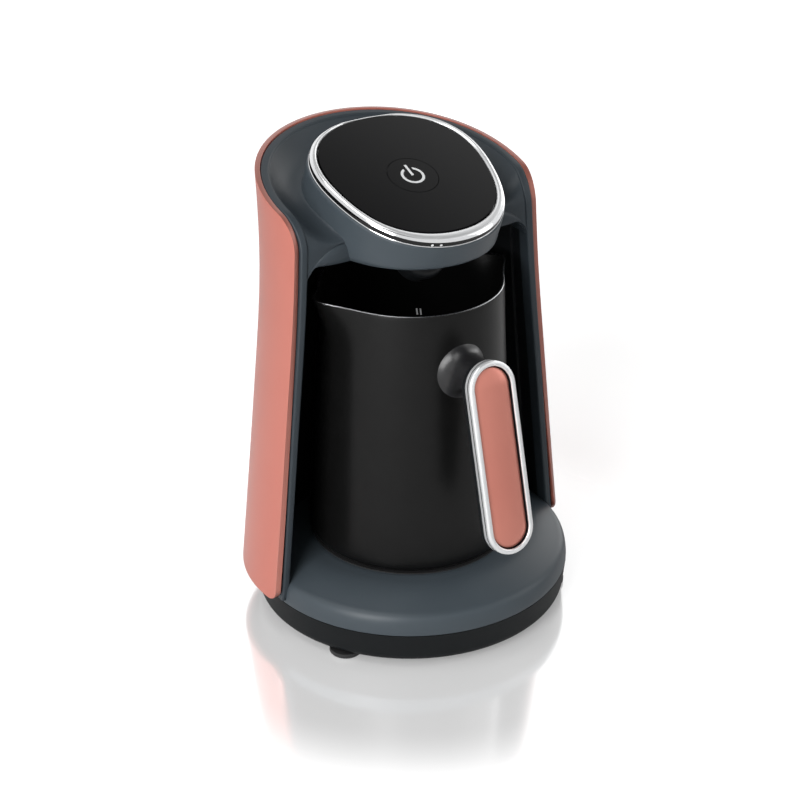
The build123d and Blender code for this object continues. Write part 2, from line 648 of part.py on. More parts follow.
def heater_wires():
    """Two insulated wires from the terminal block down to the heating element's ends."""
    end_y = POT_Y + sqrt(ELEMENT_RADIUS ** 2 - WIRE_X ** 2)
    low = SHIELD_BOTTOM + SHIELD_WALL + WIRE_RADIUS + FIT_GAP
    wires = []
    for x in (-WIRE_X, WIRE_X):
        points = [(x, end_y, ELEMENT_Z - ELEMENT_TUBE - SEAT_GAP), (x, end_y, low),
                  (x, WIRE_Y, low), (x, WIRE_Y, POWER_BOARD_Z - 31)]
        wires.append(wire(WIRE_RADIUS, points, 1.8))
    return wires


# ---------------------------------------------------------------- base pieces
def base_cover():
    """Round top of the base, with the heater's opening, screw bosses, pads and stakes."""
    solid = base_form(BASE_WALL / 2)
    cover = base_form(0) - base_form(BASE_WALL)
    for x, y in BASE_SCREW_SPOTS:
        cover += rod(BOSS_RADIUS, BASE_BOSS_BOTTOM, BASE_SEAM, x, y)
        cover += rod(BOSS_RADIUS, BASE_SEAM, BASE_TOP, x, y) & solid
        cover -= rod(SCREW_RADIUS + SEAT_GAP, 0, BASE_SCREW_TOP + 1, x, y)
    for x, y in LINER_SCREW_SPOTS + SHELL_SCREW_SPOTS:
        cover += rod(BOSS_RADIUS, TOWER_PAD, BASE_TOP, x, y) & solid
        cover -= rod(SCREW_RADIUS + SCREW_GAP, 0, BASE_TOP, x, y)
    for x, y in around_heater(STAKE_RING):
        cover += rod(STAKE_RADIUS, SEAL_BOTTOM - SHIELD_WALL - 1, BASE_TOP - BASE_WALL / 2, x, y)
    cover -= rod(PLATE_RADIUS + SEAL_WALL + FIT_GAP, 0, BASE_TOP, 0, POT_Y)
    return cover - block(WIRE_Y - 3, WIRE_Y + 3, BASE_SEAM, BASE_TOP, WIRE_X + 3)


def pan_form(inset, bottom, corner):
    """The base pan's outside, drawn in by inset, with a rounded lower edge."""
    top = BASE_SEAM - FIT_GAP
    body = loft([base_oval(PAN_TAPER + inset, bottom), base_oval(inset, top)], ruled=True)
    return fillet(body.edges().group_by(Axis.Z)[0], corner)


def oval_ring(outer, inner, low, high):
    """An upright oval band between two insets of the base's outline."""
    return extrude(base_oval(outer, low) - base_oval(inner, low), high - low)


def base_pan():
    """Bottom of the base: a shallow dish with an inner lip, screw wells and foot holes."""
    top = BASE_SEAM - FIT_GAP
    floor_top = PAN_BOTTOM + PAN_WALL
    pan = pan_form(0, PAN_BOTTOM, PAN_CORNER) - pan_form(PAN_WALL, floor_top, PAN_CORNER - PAN_WALL)
    inner = PAN_LIP_INSET + PAN_LIP_WALL
    pan += oval_ring(PAN_WALL - 0.4, inner, top - 3.5, top)
    pan += oval_ring(PAN_LIP_INSET, inner, top, top + PAN_LIP_RISE)
    seat = floor_top + 1.7
    for x, y in BASE_SCREW_SPOTS:
        pan += rod(BOSS_RADIUS + 1, PAN_BOTTOM, BASE_BOSS_BOTTOM - FIT_GAP, x, y)
        pan -= rod(SCREW_HEAD_RADIUS + 0.4, -LIFT, seat, x, y)
        pan -= rod(SCREW_RADIUS + SCREW_GAP, 0, BASE_SEAM, x, y)
    for x, y in FOOT_SPOTS:
        pan -= rod(FOOT_PLUG + SEAT_GAP, 0, BASE_SEAM / 2, x, y)
    return pan - rod_along_y(GLAND_RADIUS + SEAT_GAP, BASE_HALF_DEPTH / 2, BIG / 4, 0, GLAND_Z)


def base_screws():
    """Four screws from under the pan up into the cover's bosses."""
    seat = PAN_BOTTOM + PAN_WALL + 1.7
    screws = []
    for x, y in BASE_SCREW_SPOTS:
        screw = rod(SCREW_HEAD_RADIUS, seat - SCREW_HEAD_HEIGHT, seat, x, y)
        screws.append(screw + rod(SCREW_RADIUS, seat, BASE_SCREW_TOP, x, y))
    return screws


def rubber_feet():
    """Four feet, each with a plug through the pan and a bulb that holds it there."""
    floor_top = PAN_BOTTOM + PAN_WALL
    feet = []
    for x, y in FOOT_SPOTS:
        pad = rod(FOOT_RADIUS, -LIFT, PAN_BOTTOM, x, y)
        pad = chamfer(pad.edges().group_by(Axis.Z)[0], 0.6)
        plug = rod(FOOT_PLUG, PAN_BOTTOM, floor_top + 1.5, x, y)
        feet.append(pad + plug + rod(FOOT_PLUG + 0.7, floor_top + SEAT_GAP, floor_top + 1.2, x, y))
    return feet


def cable_gland():
    """Cord inlet bush in the pan's rear wall."""
    seat = BASE_Y + BASE_HALF_DEPTH
    bush = rod_along_y(GLAND_RADIUS, seat - GLAND_LENGTH, seat, 0, GLAND_Z)
    bush += rod_along_y(GLAND_FLANGE, seat, seat + GLAND_FLANGE_WALL, 0, GLAND_Z)
    return bush - rod_along_y(GLAND_BORE, 0, BIG / 4, 0, GLAND_Z)


# ---------------------------------------------------------------- heater pieces
def heater_plate():
    """Flat metal plate that the pot stands on."""
    plate = rod(PLATE_RADIUS, PLATE_BOTTOM, PLATE_TOP, 0, POT_Y)
    for x, y in around_heater(CLAMP_SCREW_RING):
        plate -= rod(SMALL_SCREW + SEAT_GAP, 0, PLATE_TOP - 1.2, x, y)
    return plate


def heater_seal():
    """Soft ring between the plate and the cover, with a lip above and a seat below."""
    outside = PLATE_RADIUS + SEAL_WALL
    seal = ring(PLATE_RADIUS - SEAL_LIP, outside + SEAL_LIP, SEAL_BOTTOM, PLATE_BOTTOM)
    seal += ring(PLATE_RADIUS, outside, PLATE_BOTTOM, BASE_TOP + SEAL_FLANGE)
    return seal + ring(PLATE_RADIUS, outside + SEAL_LIP, BASE_TOP, BASE_TOP + SEAL_FLANGE)


def heating_element():
    """Round heating rod under the plate, bent almost to a full circle."""
    section = Pos(ELEMENT_RADIUS, 0) * Circle(ELEMENT_TUBE)
    turn = Rot(0, 0, 90 + ELEMENT_GAP_ANGLE / 2)
    rod_ring = revolve(Plane.XZ * section, Axis.Z, 360 - ELEMENT_GAP_ANGLE)
    return Pos(0, POT_Y, ELEMENT_Z) * turn * rod_ring


def element_clamp():
    """Sheet ring that holds the heating rod up against the plate, open at the wires."""
    clamp = ring(CLAMP_INNER, CLAMP_OUTER, CLAMP_BOTTOM, CLAMP_TOP)
    for x, y in around_heater(CLAMP_SCREW_RING):
        clamp -= rod(SMALL_SCREW + SCREW_GAP, 0, BASE_TOP, x, y)
    return clamp - block(POT_Y, BIG / 2, 0, BASE_TOP, WIRE_X + 3)


def clamp_screws():
    """Three screws from the clamp up into the plate."""
    screws = []
    for x, y in around_heater(CLAMP_SCREW_RING):
        screw = rod(SMALL_HEAD, CLAMP_BOTTOM - SMALL_HEAD_HEIGHT, CLAMP_BOTTOM, x, y)
        screws.append(screw + rod(SMALL_SCREW, CLAMP_BOTTOM, PLATE_TOP - 1.5, x, y))
    return screws


def heat_shield():
    """Thin cup under the heater, with a flange staked to the cover."""
    flange_bottom = SEAL_BOTTOM - SHIELD_WALL
    cup = rod(SHIELD_RADIUS, SHIELD_BOTTOM, SEAL_BOTTOM, 0, POT_Y)
    cup += rod(SHIELD_FLANGE, flange_bottom, SEAL_BOTTOM, 0, POT_Y)
    cup -= rod(SHIELD_RADIUS - SHIELD_WALL, SHIELD_BOTTOM + SHIELD_WALL, BASE_TOP, 0, POT_Y)
    for x, y in around_heater(STAKE_RING):
        cup -= rod(STAKE_RADIUS + SEAT_GAP, 0, BASE_TOP, x, y)
    low = SHIELD_BOTTOM + SHIELD_WALL
    return cup - block(POT_Y, BIG / 2, low, flange_bottom - 1, WIRE_X + 3)


def thermal_cutout():
    """Round over-temperature cutout against the plate."""
    return rod(CUTOUT_RADIUS, PLATE_BOTTOM - CUTOUT_HEIGHT, PLATE_BOTTOM, -6.0, POT_Y)


def temperature_probe():
    """Small temperature probe against the plate."""
    return rod(PROBE_RADIUS, PLATE_BOTTOM - PROBE_HEIGHT, PLATE_BOTTOM, 12.0, POT_Y)


# ---------------------------------------------------------------- pot and handle pieces
def pot_form(inset, extra):
    """The pot's outside drawn in by inset, its top carried up by extra."""
    taper = (POT_FOOT_RADIUS - POT_RIM_RADIUS) / POT_HEIGHT
    foot = Circle(POT_FOOT_RADIUS - inset * (1 + taper))
    rim = Pos(0, 0, POT_HEIGHT - inset + extra) * Circle(POT_RIM_RADIUS - inset - taper * extra)
    body = loft([foot, rim], ruled=True)
    body = fillet(body.edges().group_by(Axis.Z)[0], POT_CORNER - inset)
    return Pos(0, POT_Y, PLATE_TOP + inset) * body


def spout_form(side, inset, extra):
    """One pulled-out pouring spout, drawn in by inset; side is +1 or -1."""
    vertex = SPOUT_REACH + SPOUT_TIP * 0.66
    edge = Polyline((vertex, 0), (vertex - SPOUT_LENGTH, SPOUT_HALF_WIDTH), (0, SPOUT_HALF_WIDTH),
                    (0, -SPOUT_HALF_WIDTH), (vertex - SPOUT_LENGTH, -SPOUT_HALF_WIDTH), close=True)
    face = make_face(edge)
    face = fillet(face.vertices().sort_by(Axis.X)[-1], SPOUT_TIP)
    if inset:
        face = offset(face, -inset)
    turned = Rot(0, 0, 0 if side > 0 else 180) * face
    start = Pos(-side * SPOUT_SPREAD, POT_Y, POT_RIM_Z - SPOUT_DROP) * turned
    rise = SPOUT_DROP + extra
    run = SPOUT_SPREAD * rise / SPOUT_DROP
    return extrude(start, sqrt(rise ** 2 + run ** 2), dir=(side * run, 0, rise))


def pot_body():
    """Tapered round pot with a flat rim and two pulled-out spouts."""
    solid = pot_form(0, 0)
    for side in (-1, 1):
        solid += spout_form(side, 0, 0)
    solid -= pot_form(POT_WALL, 10)
    for side in (-1, 1):
        solid -= spout_form(side, POT_WALL, 10)
    return solid


def grip_slot(inset, top, bottom):
    """The handle's long rounded outline, drawn in by inset, between two depths."""
    slot = Rot(0, 0, 90) * SlotOverall(GRIP_LENGTH - 2 * inset, GRIP_WIDTH - 2 * inset)
    return Pos(0, 0, -bottom) * extrude(slot, bottom - top)


def handle_frame():
    """Polished band round the handle's outer face."""
    frame = grip_slot(0, 0, FRAME_THICK) - grip_slot(FRAME_BAND, 0, FRAME_THICK)
    return GRIP * fillet(frame.edges().group_by(Axis.Z)[-1], FRAME_EDGE)


def handle_insert():
    """Painted plate inside the handle's frame."""
    low = INSERT_SINK + INSERT_THICK
    return GRIP * grip_slot(FRAME_BAND + SEAT_GAP, INSERT_SINK, low)


def handle_grip():
    """Insulated back of the handle, with a core that fills the frame behind the plate."""
    back = grip_slot(GRIP_INSET, FRAME_THICK, GRIP_BACK)
    back = fillet(back.edges().group_by(Axis.Z)[0], GRIP_EDGE)
    core_top = INSERT_SINK + INSERT_THICK
    back += grip_slot(FRAME_BAND + SEAT_GAP, core_top, FRAME_THICK)
    head_bottom = core_top + HANDLE_SCREW_HEAD_HEIGHT
    grip = GRIP * back - disc_in(STEM, HANDLE_SCREW_HEAD + SCREW_GAP, 0, head_bottom)
    return grip - disc_in(STEM, HANDLE_SCREW + SCREW_GAP, 0, BIG / 8)


def handle_stem():
    """Waisted stem between the grip and the pot, bored for the stud and the screw."""
    stem = loft([Pos(0, 0, -depth) * Circle(radius)
                 for radius, depth in zip(STEM_RADII, STEM_DEPTHS)])
    stem = STEM * stem - pot_form(0, 0) - GRIP * grip_slot(0, -GRIP_BACK, GRIP_BACK)
    stem -= disc_in(STEM, STUD_RADIUS + SEAT_GAP, STUD_TOP - SEAT_GAP, BIG / 8)
    return stem - disc_in(STEM, HANDLE_SCREW + SCREW_GAP, 0, BIG / 8)


def pot_stud():
    """Threaded stud welded to the pot's wall."""
    stud = disc_in(STEM, STUD_RADIUS, STUD_TOP, STEM_DEPTHS[-1]) - pot_form(0, 0)
    return stud - disc_in(STEM, HANDLE_SCREW + SEAT_GAP, 0, HANDLE_SCREW_END + 0.5)


def handle_screw():
    """Screw through the grip and the stem into the stud."""
    seat = INSERT_SINK + INSERT_THICK + HANDLE_SCREW_HEAD_HEIGHT
    screw = disc_in(STEM, HANDLE_SCREW_HEAD, seat - HANDLE_SCREW_HEAD_HEIGHT / 2, seat)
    return screw + disc_in(STEM, HANDLE_SCREW, seat, HANDLE_SCREW_END)


# ---------------------------------------------------------------- one file for each piece
PIECES = (outer_shell, front_housing, bay_liner, tower_screws, head_underside, indicator_lights,
          bezel_ring, top_panel, power_symbol, power_button, switch_plunger, tactile_switch,
          control_board, board_screws, status_leds, buzzer, sensor_snout, sensor_window, sensor_board,
          power_board, power_screws, relay, filter_capacitor, terminal_block, signal_lead,
          heater_wires, base_cover, base_pan, base_screws, rubber_feet, cable_gland, heater_plate,
          heater_seal, heating_element, element_clamp, clamp_screws, heat_shield, thermal_cutout,
          temperature_probe, pot_body, pot_stud, handle_stem, handle_grip, handle_frame,
          handle_insert, handle_screw)


def main():
    """Build every piece and write it to its own STEP file."""
    os.makedirs("parts", exist_ok=True)
    raised = Pos(0, 0, LIFT)
    for build in PIECES:
        shape = build()
        if isinstance(shape, list) and not isinstance(shape, ShapeList):
            shape = Compound(children=[raised * piece for piece in shape])
        else:
            shape = raised * shape
        export_step(shape, f"parts/{build.__name__}.step")


if __name__ == "__main__":
    main()
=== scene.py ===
"""Electric Turkish coffee maker: smooth skins, finishes and studio round its CAD frame."""
import logging
import math
from dataclasses import dataclass, field
from enum import Enum
from functools import lru_cache
from typing import Any, Callable, Optional, Sequence

import bmesh
import bpy
import numpy as np
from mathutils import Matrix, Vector


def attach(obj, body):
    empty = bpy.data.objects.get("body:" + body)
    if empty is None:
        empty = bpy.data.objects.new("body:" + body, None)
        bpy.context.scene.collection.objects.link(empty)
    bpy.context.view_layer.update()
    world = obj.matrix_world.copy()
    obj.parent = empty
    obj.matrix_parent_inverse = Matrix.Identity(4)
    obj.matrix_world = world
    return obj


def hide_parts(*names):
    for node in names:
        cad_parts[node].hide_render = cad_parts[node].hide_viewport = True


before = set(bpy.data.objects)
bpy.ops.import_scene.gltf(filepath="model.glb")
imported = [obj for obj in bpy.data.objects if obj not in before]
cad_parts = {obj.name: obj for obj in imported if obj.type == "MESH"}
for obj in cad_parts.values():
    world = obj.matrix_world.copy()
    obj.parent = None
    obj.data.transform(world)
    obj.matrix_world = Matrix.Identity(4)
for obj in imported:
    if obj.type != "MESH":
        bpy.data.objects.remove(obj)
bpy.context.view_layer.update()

LOG = logging.getLogger("coffee_maker")
Array = np.ndarray
Pair = tuple[float, float]
Triple = tuple[float, float, float]
Series = tuple[float, ...]
MM = 0.001
LIFT = 2.4               # the heights in the classes are measured from this far above the table
WHITE = (1.0, 1.0, 1.0, 1.0)
MIX_A, MIX_B, MIX_RESULT = 6, 7, 2       # the colour sockets of Blender's Mix node
HALVINGS = 40
SAME_POINT, NO_LENGTH = 2e-6, 1e-7       # metres: points that merge, edges that go


class Body(Enum):
    """The frame's bodies that carry the skins."""

    MACHINE = "machine"
    POT = "pot"


# ---------- colours and nodes
def linear(code: str) -> tuple[float, float, float, float]:
    """Turn an sRGB hex colour to linear light.

    Args:
        code: Six hex digits.

    Returns:
        Linear red, green, blue and an alpha of 1.
    """
    parts = [int(code[i:i + 2], 16) / 255 for i in (0, 2, 4)]
    low = [c / 12.92 if c <= 0.04045 else ((c + 0.055) / 1.055) ** 2.4 for c in parts]
    return (low[0], low[1], low[2], 1.0)


def add_node(tree: bpy.types.NodeTree, kind: str, inputs: Optional[dict] = None,
             **settings: Any) -> bpy.types.Node:
    """Add one node with its settings and its inputs.

    Args:
        tree: The material's node tree.
        kind: Blender's node type name, after ShaderNode.
        inputs: Socket name or index to a value, or to a socket that is linked in.
        **settings: Attributes of the node.

    Returns:
        The new node.
    """
    node = tree.nodes.new("ShaderNode" + kind)
    for key, value in settings.items():
        setattr(node, key, value)
    for key, value in (inputs or {}).items():
        if isinstance(value, bpy.types.NodeSocket):
            tree.links.new(value, node.inputs[key])
        else:
            node.inputs[key].default_value = value
    return node


def new_tree(blocks: Any, name: str) -> tuple[Any, bpy.types.NodeTree]:
    """Make a material or a world with an empty node tree.

    Args:
        blocks: Blender's collection of materials or of worlds.
        name: Its name.

    Returns:
        The material or world, and its node tree.
    """
    block = blocks.new(name)
    block.use_nodes = True
    block.node_tree.nodes.clear()
    return block, block.node_tree


@dataclass(frozen=True)
class Finish:
    """One real surface: its colour, its fine pattern and how it takes light.

    Two hex colours are mixed by a soft noise of patch_mm, and a finer noise of grain_mm
    moves the roughness and lifts the surface by depth_mm.
    """

    name: str
    shade: str
    tint: str
    roughness: float
    metallic: float = 0.0
    ior: float = 1.5
    coat: float = 0.0
    coat_roughness: float = 0.05
    patch_mm: float = 30.0
    grain_mm: float = 0.5
    depth_mm: float = 0.008
    swing: float = 0.05
    glow: float = 0.0

    @lru_cache(maxsize=None)
    def material(self) -> bpy.types.Material:
        """Make the material, once.

        Returns:
            A material whose patterns read Object coordinates, in metres.
        """
        material, tree = new_tree(bpy.data.materials, self.name)
        place = add_node(tree, "TexCoord").outputs["Object"]
        patch, grain = (add_node(tree, "TexNoise", {
            "Vector": place, "Scale": 1 / (size * MM), "Detail": detail}).outputs["Fac"]
            for size, detail in ((self.patch_mm, 2.0), (self.grain_mm, 1.0)))
        colour = add_node(tree, "Mix", {
            "Factor": patch, MIX_A: linear(self.shade), MIX_B: linear(self.tint)},
            data_type="RGBA")
        rough = add_node(tree, "MapRange", {
            "Value": grain, "To Min": max(0.02, self.roughness - self.swing),
            "To Max": min(1.0, self.roughness + self.swing)})
        bump = add_node(tree, "Bump", {
            "Height": grain, "Strength": 0.6, "Distance": self.depth_mm * MM})
        shader = add_node(tree, "BsdfPrincipled", {
            "Base Color": colour.outputs[MIX_RESULT], "Roughness": rough.outputs[0],
            "Metallic": self.metallic, "IOR": self.ior, "Coat Weight": self.coat,
            "Coat Roughness": self.coat_roughness, "Normal": bump.outputs[0]})
        if self.glow:
            shader.inputs["Emission Color"].default_value = linear(self.tint)
            shader.inputs["Emission Strength"].default_value = self.glow
        add_node(tree, "OutputMaterial", {"Surface": shader.outputs[0]})
        return material


class Finishes:
    """Every finish of the machine."""

    # Metallic paint over moulded ABS: a satin rose-copper sheen with a clear coat over it.
    copper_paint = Finish("painted_abs_rose_copper", "C97566", "D17F70", 0.40, metallic=0.35,
                          coat=0.35, coat_roughness=0.18, patch_mm=40.0, depth_mm=0.004,
                          swing=0.03)
    # The same paint with more metal flake, on the handle's plate: light and shade run along it.
    copper_plate = Finish("painted_plate_rose_copper", "C97B6C", "D28777", 0.30, metallic=0.55,
                          coat=0.3, coat_roughness=0.2, patch_mm=40.0, depth_mm=0.004,
                          swing=0.03)
    # The same paint in a darker copy on the shell's cut edge: painted shade on the rim face.
    copper_shaded_edge = Finish("rose_copper_edge_painted_shade", "9A5C50", "A6675A", 0.35, metallic=0.3,
                         coat=0.4, coat_roughness=0.15, depth_mm=0.004, swing=0.03)
    # Moulded ABS in blue-grey: satin, with a fine spark-eroded texture.
    slate_plastic = Finish("moulded_abs_slate", "3F474D", "464E54", 0.37, ior=1.36,
                           depth_mm=0.006)
    # The same ABS in a darker, rougher copy, on the frame and its dished deck: painted shade, so
    # the frame reads deeper than the base.
    painted_shade_slate = Finish("moulded_abs_slate_painted_shade", "32393E", "383F45", 0.42, ior=1.33)
    # Moulded ABS in blue-black, matt: the pan stays darker than the skirt over it.
    pan_plastic = Finish("moulded_abs_blue_black", "0C0F11", "101315", 0.5, ior=1.27)
    # Moulded ABS in near-black: satin walls that stay dark inside the bay. The same finish is
    # painted shade on the wings' inner flank and in the handle band's groove and gap.
    charcoal_plastic = Finish("moulded_abs_charcoal", "141618", "191B1D", 0.42, ior=1.33,
                              depth_mm=0.006)
    # Polished PMMA, black: sharp reflections over black. On the bezel's side band the same finish
    # is a painted dark reflection.
    black_gloss = Finish("polished_pmma_black", "0B0B0C", "0F0F10", 0.07, ior=1.38, coat=0.08,
                         coat_roughness=0.03, patch_mm=60.0, grain_mm=2.0, depth_mm=0.0005,
                         swing=0.02)
    # Chrome plated ABS: mirror bright with a faint ripple from the moulding under it.
    chrome_trim = Finish("chrome_plated_abs", "D6D7D9", "E6E7E8", 0.10, metallic=1.0,
                         patch_mm=25.0, grain_mm=3.0, depth_mm=0.002, swing=0.03)
    # Satin chrome made half diffuse, on the bezel's bevel and the handle's band: a painted
    # highlight, paler and never black whatever it reflects.
    chrome_painted_highlight = Finish("chrome_plated_abs_painted_highlight", "DEDFE0", "EDEEEF", 0.18, metallic=0.5,
                          patch_mm=25.0, grain_mm=3.0, depth_mm=0.002, swing=0.03)
    # Sprayed non-stick coating on steel: near-black with a satin sheen and a fine speckle.
    pot_coating = Finish("sprayed_nonstick_black", "0D0D0D", "121212", 0.32, ior=1.29,
                         patch_mm=12.0, grain_mm=0.45, swing=0.06)
    # Polished phenolic moulding, on the stem: near-black with soft bright streaks.
    stem_gloss = Finish("polished_bakelite_black", "1A1A1B", "212123", 0.3, coat=0.15,
                        coat_roughness=0.25, patch_mm=12.0, grain_mm=0.6, depth_mm=0.002)
    # Drawn stainless steel, bare: grey with a soft brushed sheen.
    bare_steel = Finish("drawn_stainless_steel", "9C9DA0", "B2B3B5", 0.28, metallic=1.0,
                        patch_mm=8.0, grain_mm=0.4, depth_mm=0.004)
    # Ground and sealed steel of the heating plate: dark grey metal, satin.
    plate_metal = Finish("ground_plate_steel", "6A6B6D", "7B7C7E", 0.34, metallic=1.0,
                         patch_mm=10.0, depth_mm=0.005)
    # Moulded silicone: matt black, slightly dusty.
    soft_seal = Finish("moulded_silicone_black", "1B1B1C", "242425", 0.62, patch_mm=9.0,
                       grain_mm=0.7, depth_mm=0.01)
    # Moulded translucent polycarbonate: pale, with a faint light of its own behind it. On the pot's
    # level marks, which have no light behind them, the glow is painted light.
    clear_white = Finish("moulded_polycarbonate_white", "D2D4D5", "E2E3E4", 0.25, patch_mm=5.0,
                         grain_mm=0.8, depth_mm=0.002, glow=0.08)
    # Smoked polycarbonate of the sensor's window: dark and sharp.
    smoked_window = Finish("moulded_polycarbonate_smoked", "131416", "1C1D20", 0.12, patch_mm=5.0,
                           grain_mm=0.8, depth_mm=0.001)
    # FR4 board under green solder mask: satin green with a faint weave.
    board_green = Finish("laminated_fr4_green", "1E5A34", "28693F", 0.35, patch_mm=3.0,
                         grain_mm=0.8, depth_mm=0.01)
    # Moulded PBT of relay and capacitor cases: matt and dark.
    relay_case = Finish("moulded_pbt_blue_black", "1D2733", "263240", 0.45, patch_mm=6.0)
    # Braided glass sleeve over the wires: off-white and matt.
    wire_sleeve = Finish("braided_glass_sleeve", "B8B2A4", "CFCABD", 0.75, patch_mm=1.2,
                         grain_mm=0.6, depth_mm=0.05)


# ---------- meshes
@dataclass
class Sheet:
    """A grid of points in millimetres, with the finish number of each of its columns."""

    points: Array
    wrap_rows: bool = False
    wrap_columns: bool = False
    looks: Optional[Array] = None

    def cells(self) -> Array:
        """Number the corners of the cells; cell (i, j) joins i and i + 1 with j and j + 1.

        Returns:
            Point numbers, (rows, columns, 4).
        """
        rows, columns = self.points.shape[:2]
        i, j = np.meshgrid(np.arange(rows - (not self.wrap_rows)),
                           np.arange(columns - (not self.wrap_columns)), indexing="ij")
        a, b = (i + 1) % rows * columns, (j + 1) % columns
        return np.stack([i * columns + j, a + j, a + b, i * columns + b], -1)


def make_piece(name: str, sheets: Sequence[Sheet], finishes: Sequence[Finish], body: Body,
               replaced: Sequence[str] = (), sharp_degrees: float = 50.0,
               outward: Optional[Callable[[Array], Array]] = None) -> bpy.types.Object:
    """Turn sheets into one mesh piece in metres, raised by LIFT, and put it on its body.

    Args:
        name: The piece's name.
        sheets: Its surfaces, which share points where they meet.
        finishes: Its finishes, numbered from 0.
        body: The frame body that carries it.
        replaced: The CAD nodes it stands for.
        sharp_degrees: Edges that turn more than this stay crisp.
        outward: For an open skin, from its face centres to the way out at each; a closed
            skin needs none.

    Returns:
        The new object, at the origin.
    """
    faces, numbers, start = [], [], 0
    for sheet in sheets:
        cells = sheet.cells()
        looks = np.array([0]) if sheet.looks is None else sheet.looks[:cells.shape[1]]
        numbers.append(np.broadcast_to(looks, cells.shape[:2]).ravel())
        faces.append(cells.reshape(-1, 4) + start)
        start += sheet.points.size // 3
    points = np.concatenate([sheet.points.reshape(-1, 3) for sheet in sheets])
    mesh = bpy.data.meshes.new(name)
    mesh.from_pydata(((points + (0.0, 0.0, LIFT)) * MM).tolist(), [],
                     np.concatenate(faces).tolist())
    mesh.polygons.foreach_set("material_index", np.concatenate(numbers).astype(np.int32))
    for finish in finishes:
        mesh.materials.append(finish.material())
    work = bmesh.new()
    work.from_mesh(mesh)
    bmesh.ops.remove_doubles(work, verts=work.verts, dist=SAME_POINT)
    bmesh.ops.dissolve_degenerate(work, edges=work.edges, dist=NO_LENGTH)
    if outward is None:
        bmesh.ops.recalc_face_normals(work, faces=work.faces)
    work.to_mesh(mesh)
    work.free()
    mesh.polygons.foreach_set("use_smooth", np.ones(len(mesh.polygons), bool))
    mesh.set_sharp_from_angle(angle=math.radians(sharp_degrees))
    if outward is not None:
        turn_outward(mesh, outward)
    piece = bpy.data.objects.new(name, mesh)
    bpy.context.scene.collection.objects.link(piece)
    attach(piece, body.value)
    if replaced:
        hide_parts(*replaced)
    LOG.info("piece %s: %d faces on %s", name, len(mesh.polygons), body.value)
    return piece


def turn_outward(mesh: bpy.types.Mesh, direction: Callable[[Array], Array]) -> None:
    """Flip an open skin if its faces look against a direction, weighed by their area.

    Args:
        mesh: The skin.
        direction: From the face centres in metres to the way out at each.
    """
    count = len(mesh.polygons)
    centres, normals, areas = np.zeros(count * 3), np.zeros(count * 3), np.zeros(count)
    for key, values in (("center", centres), ("normal", normals), ("area", areas)):
        mesh.polygons.foreach_get(key, values)
    ways = direction(centres.reshape(-1, 3)) * normals.reshape(-1, 3)
    if (ways.sum(1) * areas).sum() < 0:
        mesh.flip_normals()


@dataclass
class Dressing:
    """The finish of every CAD node."""

    by_finish: dict[Finish, tuple[str, ...]] = field(default_factory=lambda: {
        Finishes.copper_paint: ("outer_shell",),
        Finishes.copper_plate: ("handle_insert",),
        Finishes.slate_plastic: ("front_housing", "base_cover"),
        Finishes.pan_plastic: ("base_pan",),
        Finishes.charcoal_plastic: (
            "bay_liner", "head_underside", "sensor_snout", "handle_grip", "cable_gland",
            "handle_stem", "terminal_block", "buzzer", "tactile_switch"),
        Finishes.black_gloss: ("top_panel", "power_button"),
        Finishes.chrome_trim: ("bezel_ring", "handle_frame"),
        Finishes.pot_coating: ("pot_body",),
        Finishes.bare_steel: (
            "tower_screws", "board_screws", "power_screws", "base_screws", "clamp_screws",
            "handle_screw", "pot_stud", "heat_shield", "element_clamp", "thermal_cutout",
            "temperature_probe"),
        Finishes.plate_metal: ("heater_plate", "heating_element"),
        Finishes.soft_seal: ("heater_seal", "rubber_feet"),
        Finishes.clear_white: ("power_symbol", "indicator_lights", "status_leds"),
        Finishes.smoked_window: ("sensor_window",),
        Finishes.board_green: ("control_board", "power_board", "sensor_board"),
        Finishes.relay_case: ("relay", "filter_capacitor", "switch_plunger"),
        Finishes.wire_sleeve: ("signal_lead", "heater_wires"),
    })

    def build(self) -> None:
        """Dress each node."""
        missing = set(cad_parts)
        for finish, nodes in self.by_finish.items():
            for node in nodes:
                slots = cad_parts[node].data.materials
                slots.clear()
                slots.append(finish.material())
            missing -= set(nodes)
        LOG.info("nodes with no finish: %s", sorted(missing))


# ---------- curves
def cubic(knots: Sequence[float], values: Sequence[float], at: Array) -> Array:
    """Natural cubic curve through the knots.

    Each span is a cubic whose slope and bend match its neighbours', and neither end bends.

    Args:
        knots: Rising positions.
        values: One value for each knot.
        at: Positions to work out.

    Returns:
        The curve's value at each position.
    """
    x, y = np.asarray(knots, float), np.asarray(values, float)
    step, rise = np.diff(x), np.diff(y) / np.diff(x)
    count = len(x)
    system, right = np.eye(count), np.zeros(count)
    inner = np.arange(1, count - 1)
    system[inner, inner - 1] = step[:-1]
    system[inner, inner] = 2 * (step[:-1] + step[1:])
    system[inner, inner + 1] = step[1:]
    right[1:-1] = 6 * np.diff(rise)
    bend = np.linalg.solve(system, right)
    at = np.clip(np.asarray(at, float), x[0], x[-1])
    k = np.clip(np.searchsorted(x, at, side="right") - 1, 0, count - 2)
    a, b, h = x[k + 1] - at, at - x[k], step[k]
    return ((bend[k] * a ** 3 + bend[k + 1] * b ** 3) / (6 * h)
            + (y[k] / h - bend[k] * h / 6) * a + (y[k + 1] / h - bend[k + 1] * h / 6) * b)


def smooth(t: Array) -> Array:
    """Ease from 0 to 1: 3 t squared less 2 t cubed, held outside."""
    t = np.clip(t, 0.0, 1.0)
    return t * t * (3 - 2 * t)


